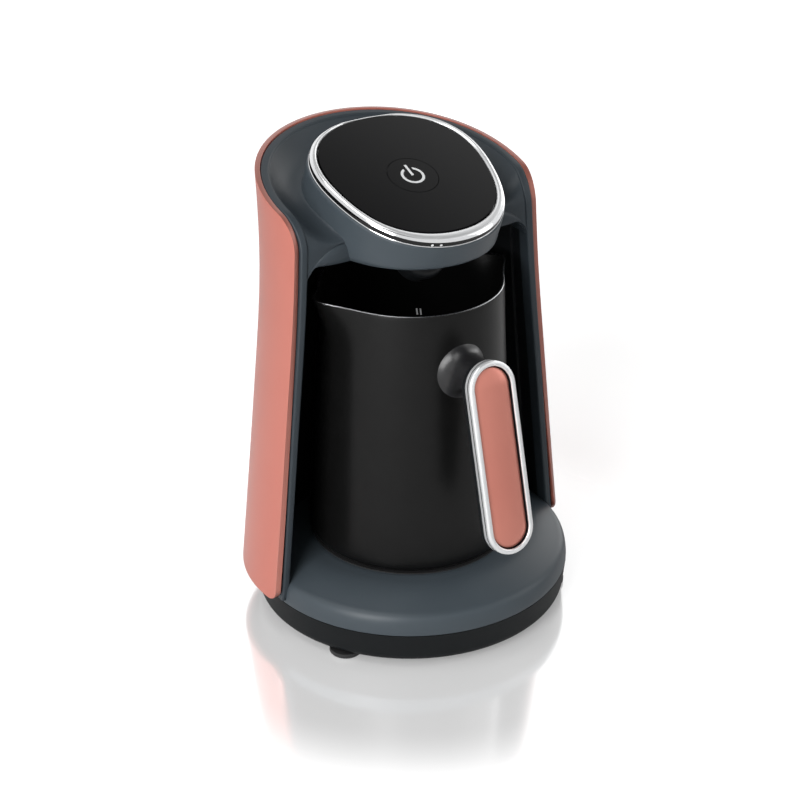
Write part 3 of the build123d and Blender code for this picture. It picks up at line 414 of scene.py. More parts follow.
def arc(centre: Pair, radius: float, start: float, end: float, count: int) -> Array:
    """Points on a circle from one angle to another, in degrees."""
    angle = np.radians(np.linspace(start, end, count))
    return np.stack([centre[0] + radius * np.cos(angle), centre[1] + radius * np.sin(angle)], -1)


def line(start: Pair, end: Pair, count: int) -> Array:
    """Evenly spaced points from start to end, both included."""
    return np.linspace(start, end, count)


def round_angles(count: int) -> Array:
    """Angles of a closed ring's columns, (count, 1)."""
    return 2 * math.pi * np.arange(count)[:, None] / count


def halve(low: Array, high: Array, below: Callable[[Array], Array]) -> Array:
    """Find where a test turns false, by halving the interval HALVINGS times.

    Args:
        low: Where the test holds.
        high: Where it doesn't.
        below: The test.

    Returns:
        The last place at which it holds.
    """
    for _ in range(HALVINGS):
        middle = (low + high) / 2
        under = below(middle)
        low, high = np.where(under, middle, low), np.where(under, high, middle)
    return low


@dataclass(frozen=True)
class TowerForm:
    """The tower's oval plan at every height, and the side view's edge that cuts it.

    In side view the front edge leans back from bottom, the rim slopes up to the rear, and
    a circle of radius corner touches both.
    """

    heights: Series = (17.0, 70.0, 120.0, 170.0, 236.0)
    half_widths: Series = (85.3, 79.3, 73.8, 69.0, 67.9)
    centres: Series = (9.0, 9.0, 9.0, 11.0, 22.0)
    rear: Pair = (85.8, 81.5)            # Y at the lowest and highest height
    front_bottom: float = -6.0
    front_top: float = -1.0
    rim_height: float = 206.7
    rim_slope: float = 0.262
    corner: float = 18.0
    bottom: float = 17.5
    crowding: float = 1.6                # above 1, columns crowd towards the front edge
    rim_search: Pair = (150.0, 245.0)

    def centre(self, z: Array) -> Array:
        """Y of the plan's widest place at height z."""
        return cubic(self.heights, self.centres, z)

    def rim(self, y: Array) -> Array:
        """Height of the sloping rim at y."""
        return self.rim_height + self.rim_slope * y

    def front(self, z: Array) -> Array:
        """Place of the leaning front edge.

        Args:
            z: Height.

        Returns:
            Y at that height.
        """
        lean = (self.front_top - self.front_bottom) / (self.rim_height - self.bottom)
        foot = self.front_bottom - lean * self.bottom
        return foot + (self.front_top - foot) * z / self.rim(self.front_top)

    def rounding(self) -> tuple[Array, Array, Array]:
        """The circle between the front edge and the rim, as y and height.

        Returns:
            Its centre, and where it touches the front edge and the rim.
        """
        tip = np.array([self.front_top, self.rim(self.front_top)])
        down, back = np.array([self.front(0.0), 0.0]) - tip, np.array([1.0, self.rim_slope])
        down, back = down / np.linalg.norm(down), back / np.linalg.norm(back)
        half = math.acos(float(down @ back)) / 2
        middle = (down + back) / np.linalg.norm(down + back)
        reach = self.corner / math.tan(half)
        return tip + middle * self.corner / math.sin(half), tip + down * reach, tip + back * reach

    def top(self, y: Array) -> Array:
        """Height of the top edge: the circle, then the rim.

        Args:
            y: Place from front to rear.

        Returns:
            The height there.
        """
        centre, touch_front, touch_rim = self.rounding()
        inside = np.clip(self.corner ** 2 - (y - centre[0]) ** 2, 0.0, None)
        bend = np.where(y < touch_front[0], touch_front[1], centre[1] + np.sqrt(inside))
        return np.where(y < touch_rim[0], bend, self.rim(y))

    def plan(self, z: Array, share: Array, inset: Array | float = 0.0) -> tuple[Array, Array]:
        """Place on the oval at height z, by its share of the angle from front to rear.

        Args:
            z: Height.
            share: 0 at the front edge, 1 at the middle of the rear.
            inset: Distance inside the oval.

        Returns:
            X and Y, on the left side.
        """
        low, high = self.heights[0], self.heights[-1]
        rear = self.rear[0] + (z - low) / (high - low) * (self.rear[1] - self.rear[0])
        mid = self.centre(z)
        wide, deep = cubic(self.heights, self.half_widths, z) - inset, rear - mid - inset
        start = np.arcsin(np.clip((self.front(z) - mid) / deep, -1, 1))
        angle = start + share * (math.pi / 2 - start)
        return -wide * np.cos(angle), mid + deep * np.sin(angle)

    def shares(self, count: int) -> Array:
        """Shares of the angle for a number of columns, crowded towards the front edge."""
        return (np.linspace(0, 1, count) ** self.crowding)[:, None]

    def meet(self, share: Array, inset: Array) -> Array:
        """Height at which each share's own y meets the top edge."""
        low, high = (np.full(np.broadcast_shapes(share.shape, inset.shape), z)
                     for z in self.rim_search)
        return halve(low, high, lambda z: z < self.top(self.plan(z, share, inset)[1]))

    def skin(self, columns: int, rows: int) -> Array:
        """Half of the oval wall, from the left front edge to the middle of the rear.

        A column keeps its share at every height, and ends on the top edge.

        Args:
            columns: Grid columns.
            rows: Grid rows.

        Returns:
            Points, (columns, rows, 3).
        """
        share = self.shares(columns)
        climb = self.meet(share, np.zeros((1, 1))) - self.bottom
        z = self.bottom + climb * np.linspace(0, 1, rows)[None, :]
        return np.stack([*self.plan(z, share), z], -1)


def both_sides(half: Array) -> Array:
    """Join a left half to its mirror image, (columns, rows, 3), with x reversed in it."""
    return np.concatenate([half, half[-2::-1] * (-1.0, 1.0, 1.0)])


@dataclass
class Shell:
    """The painted outer shell round the back and both sides."""

    form: TowerForm = field(default_factory=TowerForm)
    grid: tuple[int, int] = (90, 90)
    wall: float = 2.5
    edge_round: float = 0.8
    edge_turn: float = 50.0              # degrees: edges that turn more are rounded
    foot_corner: float = 6.0
    core: Triple = (0.0, 0.010, 0.12)    # metres: a place inside

    def build(self) -> None:
        """Make the shell: a skin with its lower front corner rounded, its wall inward.

        The corner lifts a column's foot by a quarter circle of the way from the front
        edge, and the lift fades with the square of the way left to the top.
        """
        half = self.form.skin(*self.grid)
        along = np.linalg.norm(np.diff(half[:, 0], axis=0), axis=1).cumsum()
        left = np.clip(self.foot_corner - np.concatenate([[0.0], along]), 0, None)
        lift = self.foot_corner - np.sqrt(self.foot_corner ** 2 - left ** 2)
        climb = (half[..., 2] - self.form.bottom) / (half[:, -1:, 2] - self.form.bottom)
        half[..., 2] += lift[:, None] * (1 - climb) ** 2
        shell = make_piece("shell_skin", [Sheet(both_sides(half))],
                           [Finishes.copper_paint, Finishes.copper_shaded_edge], Body.MACHINE,
                           ["outer_shell"], 60.0,
                           lambda centres: centres - self.core)
        wall = shell.modifiers.new("wall", "SOLIDIFY")
        wall.thickness, wall.offset, wall.use_even_offset = self.wall * MM, -1.0, True
        # The wall's cut rim takes the darker copper: painted shade on the rim face.
        wall.material_offset_rim = 1
        edge = shell.modifiers.new("edge", "BEVEL")
        edge.width, edge.segments, edge.limit_method = self.edge_round * MM, 3, "ANGLE"
        edge.angle_limit, edge.material = math.radians(self.edge_turn), 0


@dataclass
class Housing:
    """The slate frame inside the shell: side wings, rim band and the dished deck."""

    form: TowerForm = field(default_factory=TowerForm)
    gap_inset: float = 2.8
    foot_gap: float = 0.4
    wing_proud: float = 1.4
    wing_wall: float = 3.6
    wing_back: float = 15.0
    band: float = 3.4
    skin_wall: float = 1.3
    wing_rows: int = 64
    rim_rows: int = 100
    turn: tuple[int, int] = (9, 26)      # rows before the corner, and rows to turn in
    # From this column of the section on, the wings' inner flank takes near-black: painted shade in
    # front of the bay's own black lining.
    flank: int = 28                      # the section's column where the dark flank starts
    crest: int = 18                      # the section's column that the deck starts from
    deck_lead: int = 5                   # rows before the corner where the deck starts
    deck_columns: int = 44
    mouth_top: float = 185.6
    mouth_corner: float = 7.0
    dish: float = 7.5
    dish_power: float = 2.6
    dish_hub: float = 15.0               # Y of the point that the deck's rows turn round
    head_y: float = 12.0                 # Y that the rim's height is taken from at the head
    bury: float = 1.2                    # how far the dish runs into the head's wall
    foot_rise: float = 2.2               # the climb at the wall, over the last foot_share
    foot_share: float = 0.2
    foot_run: float = 20.0
    lip: float = 9.0
    lip_run: Pair = (16.0, 1.5)          # length and power of its fading
    lip_shift: Pair = (0.6, 5.0)         # step and length of its fading
    lip_round: Pair = (0.2, 5.0)         # least and most
    lip_round_share: float = 0.6
    lip_round_run: float = 10.0
    lip_ahead: float = 0.4
    lip_angles: Series = (0.0, 25.0, 50.0, 75.0)
    ceiling: float = 16.0

    def section(self) -> tuple[Array, Array]:
        """Sections of the wing and of the rim band, as inset and height over the shell's edge.

        Returns:
            Two arrays with as many points; a row of the skin moves from the first to the
            second on its way round the upper corner.
        """
        p, w, b = self.wing_proud, self.wing_wall, self.band
        wing = np.concatenate([
            line((0.0, -3.0), (0.0, p - 1.2), 6), arc((1.0, p - 1.0), 1.0, 170, 90, 6),
            arc((w - 1.0, p - 1.0), 1.0, 88, 0, 8), line((w, p - 1.6), (w, -self.wing_back), 22)])
        rim = np.concatenate([
            line((0.0, -3.0), (0.0, -0.8), 6), arc((0.8, -0.6), 0.8, 165, 90, 6),
            arc((b - 0.5, -0.9), 1.1, 88, 20, 8), line((b + 0.6, -1.1), (b + 0.9, -5.0), 22)])
        return wing, rim

    def outline(self, inset: Array) -> tuple[Array, Array]:
        """Half of the edge that the housing follows, drawn in by inset.

        The first rows climb the front edge; the others follow the corner and the sloping
        rim to the middle of the rear, each at its share of the angle.

        Args:
            inset: Distance inside the shell, (rows, section).

        Returns:
            Points, and for each row the direction square to the edge in side view.
        """
        low = np.linspace(self.form.bottom + self.foot_gap, self.form.rounding()[1][1],
                          self.wing_rows)[:, None]
        share = self.form.shares(self.rim_rows)[1:]
        z = np.concatenate([np.broadcast_to(low, (self.wing_rows, inset.shape[1])),
                            self.form.meet(share, inset[self.wing_rows:])])
        share = np.concatenate([np.zeros_like(low), share])
        points = np.stack([*self.form.plan(z, share, inset), z], -1)
        run = np.gradient(points[:, 0, 1:], axis=0)
        run = run / np.linalg.norm(run, axis=1, keepdims=True)
        return points, np.stack([np.zeros(len(run)), -run[:, 1], run[:, 0]], -1)

    def build(self) -> None:
        """Make the wings with the rim band, and the deck."""
        wing, rim = self.section()
        rows, (lead, length) = np.arange(self.wing_rows + self.rim_rows - 1), self.turn
        mix = smooth((rows - self.wing_rows + lead) / length)[:, None, None]
        section = (1 - mix) * wing + mix * rim
        points, square = self.outline(self.gap_inset + section[..., 0])
        skin = points + section[..., 1:2] * square[:, None, :]
        deck = self.deck(skin[self.wing_rows - self.deck_lead:, self.crest], Head())
        # The housing and the deck take the darker slate copy: painted shade.
        for name, half, way, dark_from in (
                ("housing_skin", skin, (0.0, -0.7, 0.7), self.flank),
                ("deck_skin", deck, (0.0, 0.0, 1.0), self.deck_columns)):
            # Columns from the flank column on take near-black: painted shade on the wings' inner
            # flank.
            looks = (np.arange(half.shape[1] - 1) >= dark_from).astype(int)
            piece = make_piece(
                name, [Sheet(both_sides(half), looks=looks)],
                [Finishes.painted_shade_slate, Finishes.charcoal_plastic], Body.MACHINE,
                ["front_housing"],
                outward=lambda centres, way=way: np.broadcast_to(way, centres.shape))
            wall = piece.modifiers.new("wall", "SOLIDIFY")
            wall.thickness, wall.offset = self.skin_wall * MM, -1.0

    def deck(self, crest: Array, head: "Head") -> Array:
        """The dish between the rim band and the head's wall, with its lip over the bay.

        Each row runs from a point of the crest line to a point inside the head's wall.
        Across it the fall is 1 less the way left to the power dish_power, and it climbs a
        little at the wall. The wall's end lies dish under the rim, and near the lip it
        sinks towards the mouth by an exponential of the way behind the lip.

        Args:
            crest: The line where the band ends, from the lip to the rear, (rows, 3).
            head: The head, for its outline.

        Returns:
            Points, (rows, across, 3).
        """
        across = np.linspace(0, 1, self.deck_columns)[None, :]
        polar = np.arctan2(-crest[:, 0], crest[:, 1] - self.dish_hub)
        angle = -polar / polar[0] * math.radians(head.lip_angle)
        outer, lean = head.radius(head.outer, angle) - self.bury, math.radians(head.tilt)
        x, y = outer * np.sin(angle), outer * np.cos(angle)
        behind = crest[:, 1] - crest[0, 1]
        wall_z = self.form.rim(y * math.cos(lean) + self.head_y) - self.dish
        run, power = self.lip_run
        wall_z = wall_z - (wall_z[0] - self.mouth_top - self.lip) * np.exp(-(behind / run) ** power)
        depth = (head.origin[2] + y * math.sin(lean) - wall_z) / math.cos(lean)
        foot = head.place(x, y, depth)
        step, run = self.lip_shift
        foot[:, 1] += (crest[0, 1] + step - foot[0, 1]) * np.exp(-behind / run)
        plan = crest[:, None, :2] + across[..., None] * (foot - crest)[:, None, :2]
        height = crest[:, 2:] + (wall_z - crest[:, 2])[:, None] * (
            1 - (1 - across) ** self.dish_power)
        last = np.clip((across - 1 + self.foot_share) / self.foot_share, 0, 1)
        height = height + self.foot_rise * last ** 2 * smooth(behind / self.foot_run)[:, None]
        dish = np.concatenate([plan, height[..., None]], -1)
        return np.concatenate([self.mouth(dish[0]), dish])

    def mouth(self, lip: Array) -> Array:
        """Rows from the bay's ceiling to the lip, which is rounded by an ellipse.

        The mouth's edge meets the wing in a quarter circle. The rounding grows with the
        height over that edge, and with an ease of the way from the wing.

        Args:
            lip: The deck's first row, (across, 3).

        Returns:
            Points, (rows, across, 3).
        """
        x, y, z = lip.T
        side = np.abs(x - x[0])
        left = np.clip(self.mouth_corner - side, 0, self.mouth_corner)
        edge = self.mouth_top - self.mouth_corner + np.sqrt(self.mouth_corner ** 2 - left ** 2)
        soft = np.clip((z - edge) * self.lip_round_share * smooth(side / self.lip_round_run),
                       *self.lip_round)
        bend = np.radians(np.array(self.lip_angles))[:, None]
        ahead, height = self.lip_ahead * soft, z - soft * (1 - np.sin(bend))
        rows_y = np.stack([y + self.ceiling, y + 1.0 - ahead, y - ahead])
        rows_z = np.stack([edge, edge, 0.5 * (edge + height[0])])
        rows_y = np.concatenate([rows_y, y - ahead * np.cos(bend)])
        rows_z = np.concatenate([rows_z, height])
        return np.stack([np.broadcast_to(x, rows_y.shape), rows_y, rows_z], -1)


@dataclass
class Head:
    """The head's outer wall and the polished bezel, on the head's tilted plane."""

    origin: Triple = (0.0, 5.1, 217.7)
    tilt: float = 21.0
    outer: Series = (45.8, 1.5, 1.4, -1.6, -1.1)
    inner: Series = (41.9, 3.2, 1.4, -0.8, -1.0)
    proud: float = 0.8
    wall: float = 2.5
    bezel_height: float = 4.0
    depth: float = 18.0
    bottom: float = 184.8
    ceiling: float = 192.0
    lip_angle: float = 119.0
    full_width: float = 4.2
    crown: float = 233.35
    least_width: float = 0.28
    foot_round: float = 3.0
    front_ease: Pair = (0.1, 0.5)
    columns: int = 256

    def radius(self, series: Sequence[float], angle: Array) -> Array:
        """Outline radius: a cosine series of the angle from the rear."""
        return sum(size * np.cos(order * angle) for order, size in enumerate(series))

    def place(self, x: Array, y: Array, depth: Array) -> Array:
        """Points on the tilted plane, at x, at y up the slope and at depth below it."""
        lean = math.radians(self.tilt)
        return np.stack([x + self.origin[0],
                         y * math.cos(lean) + depth * math.sin(lean) + self.origin[1],
                         y * math.sin(lean) - depth * math.cos(lean) + self.origin[2]], -1)

    def sweep(self, radius: Array, depth: Array) -> Array:
        """Points at each angle's radii and depths, (columns, section)."""
        angle = round_angles(self.columns)
        return self.place(radius * np.sin(angle), radius * np.cos(angle),
                          np.broadcast_to(depth, radius.shape))

    def build(self) -> None:
        """Make the wall and the bezel.

        The wall's foot lies at bottom in front and eases up to ceiling at the rear, and
        its section is stretched to reach it.
        """
        angle, lean = round_angles(self.columns), math.radians(self.tilt)
        outer, inner = self.radius(self.outer, angle), self.radius(self.inner, angle)
        out, back = self.proud, self.proud - self.wall
        start, bend = self.bezel_height, self.foot_round
        section = np.concatenate([
            [(back, start + 0.4), (out - 0.5, start + 0.1), (out, start + 0.5)],
            line((out, start + 1), (out, self.depth - bend - 0.2), 6),
            arc((out - bend, self.depth - bend), bend, 0, 90, 8),
            [(back - 1.2, self.depth), (back - 1.2, self.depth - 1.2), (back, self.depth - 3.0)]])
        shift, span = self.front_ease
        end = self.bottom + (self.ceiling - self.bottom) * smooth((np.cos(angle) + shift) / span)
        reach = (self.origin[2] + outer * np.cos(angle) * math.sin(lean) - end) / math.cos(lean)
        depth = start + (section[:, 1] - start) * (reach - start) / (self.depth - start)
        make_piece("head_wall", [Sheet(self.sweep(outer + section[:, 0], depth), True, True)],
                   [Finishes.slate_plastic], Body.MACHINE)
        self._bezel(outer, inner)

    def _bezel(self, outer: Array, inner: Array) -> None:
        """Make the polished ring: a side band with a painted dark reflection, a bevel with a
        painted highlight, a fine line and an inner slope.

        Each section point says how far it lies from the outer outline towards the inner
        one, a shift in millimetres, and a depth. Shifts shrink where the ring is narrow.

        Args:
            outer: Outer radius at each angle.
            inner: Inner radius at each angle.
        """
        section = np.array([
            (0.0, 0.25, 4.0), (0.0, 0.0, 3.7), (0.0, 0.0, 2.2), (0.0, -0.05, 1.75),
            (0.0, 0.0, 1.45), (0.0, -0.35, 0.95), (0.0, -1.0, 0.35), (0.0, -1.7, 0.05),
            (0.0, -1.95, 0.0), (1.0, 1.6, 0.0), (1.0, 1.35, 0.08), (1.0, 0.4, 1.0),
            (1.0, 0.0, 1.5), (1.0, -0.1, 2.2), (1.0, -2.2, 2.3), (1.0, -2.2, 4.0)])
        share, shift, depth = section.T
        narrow = np.clip((outer - inner) / self.full_width, self.least_width, 1.0)
        points = self.sweep(outer * (1 - share) + inner * share + shift * narrow, depth)
        points[..., 2] = np.minimum(points[..., 2], self.crown)
        looks = np.zeros(len(section), int)
        # The side band takes black gloss, a painted dark reflection, and the bevel takes the pale
        # chrome, a painted highlight.
        looks[1:4] = 1
        looks[6:11] = 2
        make_piece("bezel_skin", [Sheet(points, True, True, looks)],
                   [Finishes.chrome_trim, Finishes.black_gloss, Finishes.chrome_painted_highlight],
                   Body.MACHINE, ["bezel_ring"], 40.0)


@dataclass
class BaseCover:
    """The top of the base: an oval skirt, a soft shoulder and a low crown round the plate."""

    half_width: float = 79.5
    half_depth: float = 77.5
    oval_y: float = 4.0
    plate_y: float = 6.0
    crown: float = 56.0
    mouth: float = 47.8
    top: float = 31.2
    wall: float = 2.2
    columns: int = 300

    def section(self) -> Array:
        """Section from the skirt's foot up and over, then back underneath.

        Returns:
            Points of share (0 at the oval, 1 at the crown's circle), inset and height.
        """
        rise = np.linspace(0, 1, 26)[1:]
        skirt = np.array([(0.0, 0.6, 15.9), (0.0, 0.1, 16.0), (0.0, 0.0, 16.5), (0.0, 0.05, 18.0),
                          (0.0, 0.25, 20.0), (0.0, 0.6, 22.0), (0.0, 1.05, 23.6), (0.0, 1.65, 24.8),
                          (0.0, 2.5, 25.7), (0.0, 3.6, 26.35), (0.0, 5.0, 26.8)])
        _, inset, low = skirt[-1]
        crown = np.stack([rise, inset * (1 - rise),
                          low + (self.top - low) * np.sin(rise * math.pi / 2)], -1)
        mouth = self.crown - self.mouth
        lip = [(1.0, 4.0, self.top), (1.0, mouth - 0.4, self.top), (1.0, mouth, self.top - 0.4),
               (1.0, mouth, self.top - 2.6)]
        under = crown[::-1] - (0.0, 0.0, self.wall)
        foot = [(0.0, 3.0, 23.6), (0.0, 2.4, 20.0), (0.0, 2.4, 15.9)]
        return np.concatenate([skirt, crown, lip, under, foot])

    def build(self) -> None:
        """Make the cover."""
        share, inset, height = self.section().T
        angle = round_angles(self.columns)
        wide, deep = (half * (1 - share) + self.crown * share - inset
                      for half in (self.half_width, self.half_depth))
        mid = self.oval_y * (1 - share) + self.plate_y * share
        points = np.stack([wide * np.sin(angle), mid + deep * np.cos(angle),
                           np.broadcast_to(height, (self.columns, len(height)))], -1)
        make_piece("base_cover_skin", [Sheet(points, True, True)], [Finishes.slate_plastic],
                   Body.MACHINE, ["base_cover"])


@dataclass
class Pot:
    """The tapered pot with two pulled-out spouts, its level marks and its stem."""

    centre_y: float = 6.0
    floor: float = 32.0
    height: float = 133.0
    foot_radius: float = 51.0
    rim_radius: float = 44.3
    wall: float = 1.5
    corner: float = 5.0
    spout_reach: float = 9.0
    spout_angle: float = 0.235
    spout_drop: float = 24.0
    spout_powers: Pair = (1.6, 1.7)      # of the angle, and of the height
    tip_rise: float = 1.2
    columns: int = 360
    crowding: float = 0.35               # how much the columns crowd at the spouts
    mark_angle: float = 52.5
    mark_low: float = 126.4
    mark_high: float = 130.0
    mark_shift: float = 0.95
    mark_half: float = 0.4
    mark_lean: float = 0.12
    mark_gap: float = 0.05

    def radius(self, h: Array) -> Array:
        """Outer radius at height h above the plate, a straight taper."""
        return self.foot_radius - (self.foot_radius - self.rim_radius) * h / self.height

    def profile(self) -> tuple[Array, int, int]:
        """Section from the middle of the underside out, up, over the rim and down inside.

        Returns:
            Points of radius and height, and the first and last columns of the rim.
        """
        turn, corner, inner_corner = self.wall / 2, self.corner, self.corner - self.wall
        top, foot = self.height - turn, self.foot_radius - corner
        outer_h = np.linspace(corner + 0.5, top, 64)
        inner_h = np.linspace(top, self.wall + corner, 60)
        floor_edge = self.radius(self.wall + corner) - self.wall - inner_corner
        parts = [
            line((0.0, 0.0), (foot - 0.3, 0.0), 12)[:-1],
            arc((foot - 0.25, corner), corner, -90, -3, 9)[:-1],
            np.stack([self.radius(outer_h), outer_h], -1),
            arc((self.radius(top) - turn, top), turn, 0, 180, 9)[1:-1],
            np.stack([self.radius(inner_h) - self.wall, inner_h], -1),
            arc((floor_edge, corner), inner_corner, 0, -90, 8)[1:],
            line((floor_edge, self.wall), (0.0, self.wall), 12)[1:],
        ]
        first = sum(len(p) for p in parts[:3]) - 1
        return np.concatenate(parts), first, first + len(parts[3])

    def around(self, section: Array, angles: Array) -> Array:
        """Carry a section round the pot's axis, pulled out at the two spouts.

        The pull is spout_reach times an exponential that falls with a power of the angle
        from the spout, times a power of the height's share of the top spout_drop. The
        tips also rise by tip_rise.

        Args:
            section: Points of radius and height above the plate.
            angles: Angles from +X.

        Returns:
            Points, (angles, section, 3).
        """
        away = np.abs((angles + math.pi / 2) % math.pi - math.pi / 2)
        side, up = self.spout_powers
        pull = np.exp(-(away / self.spout_angle) ** side)[:, None]
        radius, height = section.T
        lift = np.clip((height - self.height + self.spout_drop) / self.spout_drop, 0, 1) ** up
        near_wall = radius > self.rim_radius / 2
        radius = radius + self.spout_reach * pull * lift * near_wall
        return np.stack([radius * np.cos(angles)[:, None],
                         radius * np.sin(angles)[:, None] + self.centre_y,
                         height + self.floor + self.tip_rise * pull * lift ** 6 * near_wall], -1)

    def build(self) -> None:
        """Make the pot and its two level marks."""
        section, first, last = self.profile()
        angles = round_angles(self.columns)[:, 0]
        angles = angles - self.crowding * np.sin(2 * angles) / 2
        rim = np.zeros(len(section) - 1, int)
        rim[first + 2:last - 1] = 1
        make_piece("pot_skin", [Sheet(self.around(section, angles), True, False, rim)],
                   [Finishes.pot_coating, Finishes.bare_steel], Body.POT,
                   ["pot_body"], 38.0)
        axis = np.array([0.0, self.centre_y * MM, 0.0])
        # The level marks take the glowing white: a painted glow, as no lamp lies behind them.
        for number, shift in ((1, -self.mark_shift), (2, self.mark_shift)):
            make_piece(f"level_mark_{number}", [Sheet(self.mark(shift))],
                       [Finishes.clear_white], Body.POT,
                       outward=lambda centres: (axis - centres) * (1.0, 1.0, 0.0))

    def mark(self, shift: float) -> Array:
        """One short painted bar, mark_gap inside the wall, leaning with the pour.

        Args:
            shift: Distance along the wall from the pair's middle.

        Returns:
            Points by angle and height, (3, 5, 3).
        """
        rise = np.linspace(self.mark_low, self.mark_high, 5)[None, :]
        wall = self.radius(rise - self.floor) - self.wall - self.mark_gap
        along = (shift + np.linspace(-self.mark_half, self.mark_half, 3)[:, None]
                 - self.mark_lean * (rise - self.mark_low))
        angle = math.radians(self.mark_angle) - along / wall
        return np.stack([wall * np.cos(angle), wall * np.sin(angle) + self.centre_y,
                         np.broadcast_to(rise, angle.shape)], -1)


@dataclass
class Handle:
    """Grip, painted plate, polished band and stem, on the grip's leaning plane."""

    pot: Pot = field(default_factory=Pot)
    top: Pair = (-61.4, 149.5)
    bottom: Pair = (-86.0, 61.0)
    width: float = 24.8
    band: float = 2.6
    band_depth: float = 4.5
    grip_depth: float = 11.0
    plate_edge: float = 0.5
    plate_depth: Pair = (1.8, 2.5)       # of its edge and of its back
    plate_crown: float = 1.65
    stem_up: float = 34.5
    stem_drop: float = 7.0
    stem_radii: Triple = (9.0, 0.5, 4.9)     # waist, and its two flares
    stem_start: float = 8.0
    stem_reach: Pair = (10.0, 45.0)
    stem_grid: tuple[int, int] = (72, 30)
    stem_bury: float = 0.5

    def __post_init__(self) -> None:
        """Work out the grip's plane: its middle, its upward direction and its outward one."""
        rise = np.array([0.0, self.top[0] - self.bottom[0], self.top[1] - self.bottom[1]])
        self.length = float(np.linalg.norm(rise))
        self.up = rise / self.length
        self.out = np.array([0.0, -self.up[2], self.up[1]])
        self.middle = np.array([0.0, (self.top[0] + self.bottom[0]) / 2,
                                (self.top[1] + self.bottom[1]) / 2])

    def place(self, x: Array, up: Array, depth: Array) -> Array:
        """Points at x, up along the grip and depth below its outer face."""
        return (self.middle + x[..., None] * (1.0, 0.0, 0.0) + up[..., None] * self.up
                - depth[..., None] * self.out)

    def band_loop(self, inset: Array, depth: Array, count: int = 40) -> Array:
        """Carry a section round the long rounded outline.

        Each section point is an inset from the outline, which is two half circles joined
        by straight runs, and a depth.

        Args:
            inset: Distance inside the outline, for each section point.
            depth: Depth under the outer face, for each section point.
            count: Points on each half circle; the runs get half as many.

        Returns:
            Points, (outline, section, 3).
        """
        half, run = self.width / 2, (self.length - self.width) / 2
        turn, straight = np.linspace(0, math.pi, count), np.linspace(1, -1, count // 2 + 2)[1:-1]
        ones = np.ones_like(straight)
        side = np.concatenate([np.cos(turn), -ones, -np.cos(turn), ones])
        height = np.concatenate([np.sin(turn), 0 * ones, -np.sin(turn), 0 * ones])
        shift = np.concatenate([0 * turn + 1, straight, 0 * turn - 1, -straight]) * run
        x, up = side[:, None] * (half - inset), height[:, None] * (half - inset) + shift[:, None]
        return self.place(x, up, np.broadcast_to(depth, x.shape))

    def build(self) -> None:
        """Make the band, the plate, the grip and the stem."""
        self._band()
        self._plate()
        self._grip()
        self._stem()

    def _band(self) -> None:
        """Make the polished band: a rounded lip in front with a painted highlight, a fine groove,
        then a flat side; the groove and the flat side are painted shade.
        """
        band, deep = self.band, self.band_depth
        section = np.concatenate([
            [(0.0, deep), (0.0, 2.75), (0.28, 2.6), (0.28, 2.35), (0.0, 2.2)],
            arc((1.25, 1.25), 1.25, 180, 270, 8), arc((band - 0.7, 0.7), 0.7, 270, 360, 6),
            [(band, deep)]])
        looks = np.zeros(len(section), int)
        # The groove and the flat inner side take near-black: painted shade in the groove and in the
        # gap to the plate.
        looks[1:4] = looks[-2] = 1
        make_piece("handle_band", [Sheet(self.band_loop(*section.T), True, True, looks)],
                   [Finishes.chrome_painted_highlight, Finishes.charcoal_plastic], Body.POT,
                   ["handle_frame"])

    def _plate(self) -> None:
        """Make the painted plate: its face bulges a little towards the middle line."""
        edge, half = self.band + self.plate_edge, self.width / 2
        start, back = self.plate_depth
        inset = np.concatenate([[edge, edge], edge + 0.35 * (1 - np.cos(np.linspace(0.3, 1.57, 5))),
                                np.linspace(edge + 0.6, half, 12)])
        left = 1 - (inset - edge) / (half - edge)
        depth = start - self.plate_crown * np.clip(1 - left ** 2, 0, 1) ** 0.8
        depth[:2] = back, start + 0.15
        sheets = [Sheet(self.band_loop(inset, depth), True),
                  Sheet(self.band_loop(np.array([half, edge]), np.array([back, back])), True)]
        make_piece("handle_plate", sheets, [Finishes.copper_plate], Body.POT,
                   ["handle_insert"], 60.0)

    def _grip(self) -> None:
        """Make the moulded back of the handle, rounded towards the hand."""
        half, deep, start = self.width / 2, self.grip_depth, self.band_depth
        section = np.concatenate([
            [(half, start), (0.6, start)], arc((4.6, deep - 4.0), 4.0, 180, 90, 9),
            line((5.0, deep), (half, deep), 6)])
        make_piece("handle_back", [Sheet(self.band_loop(*section.T), True)],
                   [Finishes.charcoal_plastic], Body.POT, ["handle_grip"])

    def _stem(self) -> None:
        """Make the flared stem from the grip to the pot.

        Its radius is the waist's, plus the first flare times the square of the way left,
        plus the second times the fifth power of the way to the pot. Each line along it
        ends where it meets the pot's wall.
        """
        drop = math.radians(self.stem_drop)
        axis = np.array([0.0, math.cos(drop), -math.sin(drop)])
        rise = np.array([0.0, math.sin(drop), math.cos(drop)])
        start = self.middle + self.stem_up * self.up
        columns, rows = self.stem_grid
        angle, share = round_angles(columns), np.linspace(0, 1, rows)[None, :]
        waist, near, far = self.stem_radii
        radius = waist + near * (1 - share) ** 2 + far * share ** 5
        ring = start + radius[..., None] * (np.cos(angle)[..., None] * np.array([1.0, 0.0, 0.0])
                                            + np.sin(angle)[..., None] * rise)

        def outside(reach: Array) -> Array:
            """Tell which lines along the stem end clear of the pot.

            Args:
                reach: Length of each line.

            Returns:
                True where the end is still outside the pot's wall.
            """
            x, y, z = np.moveaxis(ring[:, -1:] + reach[..., None] * axis, -1, 0)
            wall = self.pot.radius(z - self.pot.floor) - self.stem_bury
            return np.hypot(x, y - self.pot.centre_y) > wall

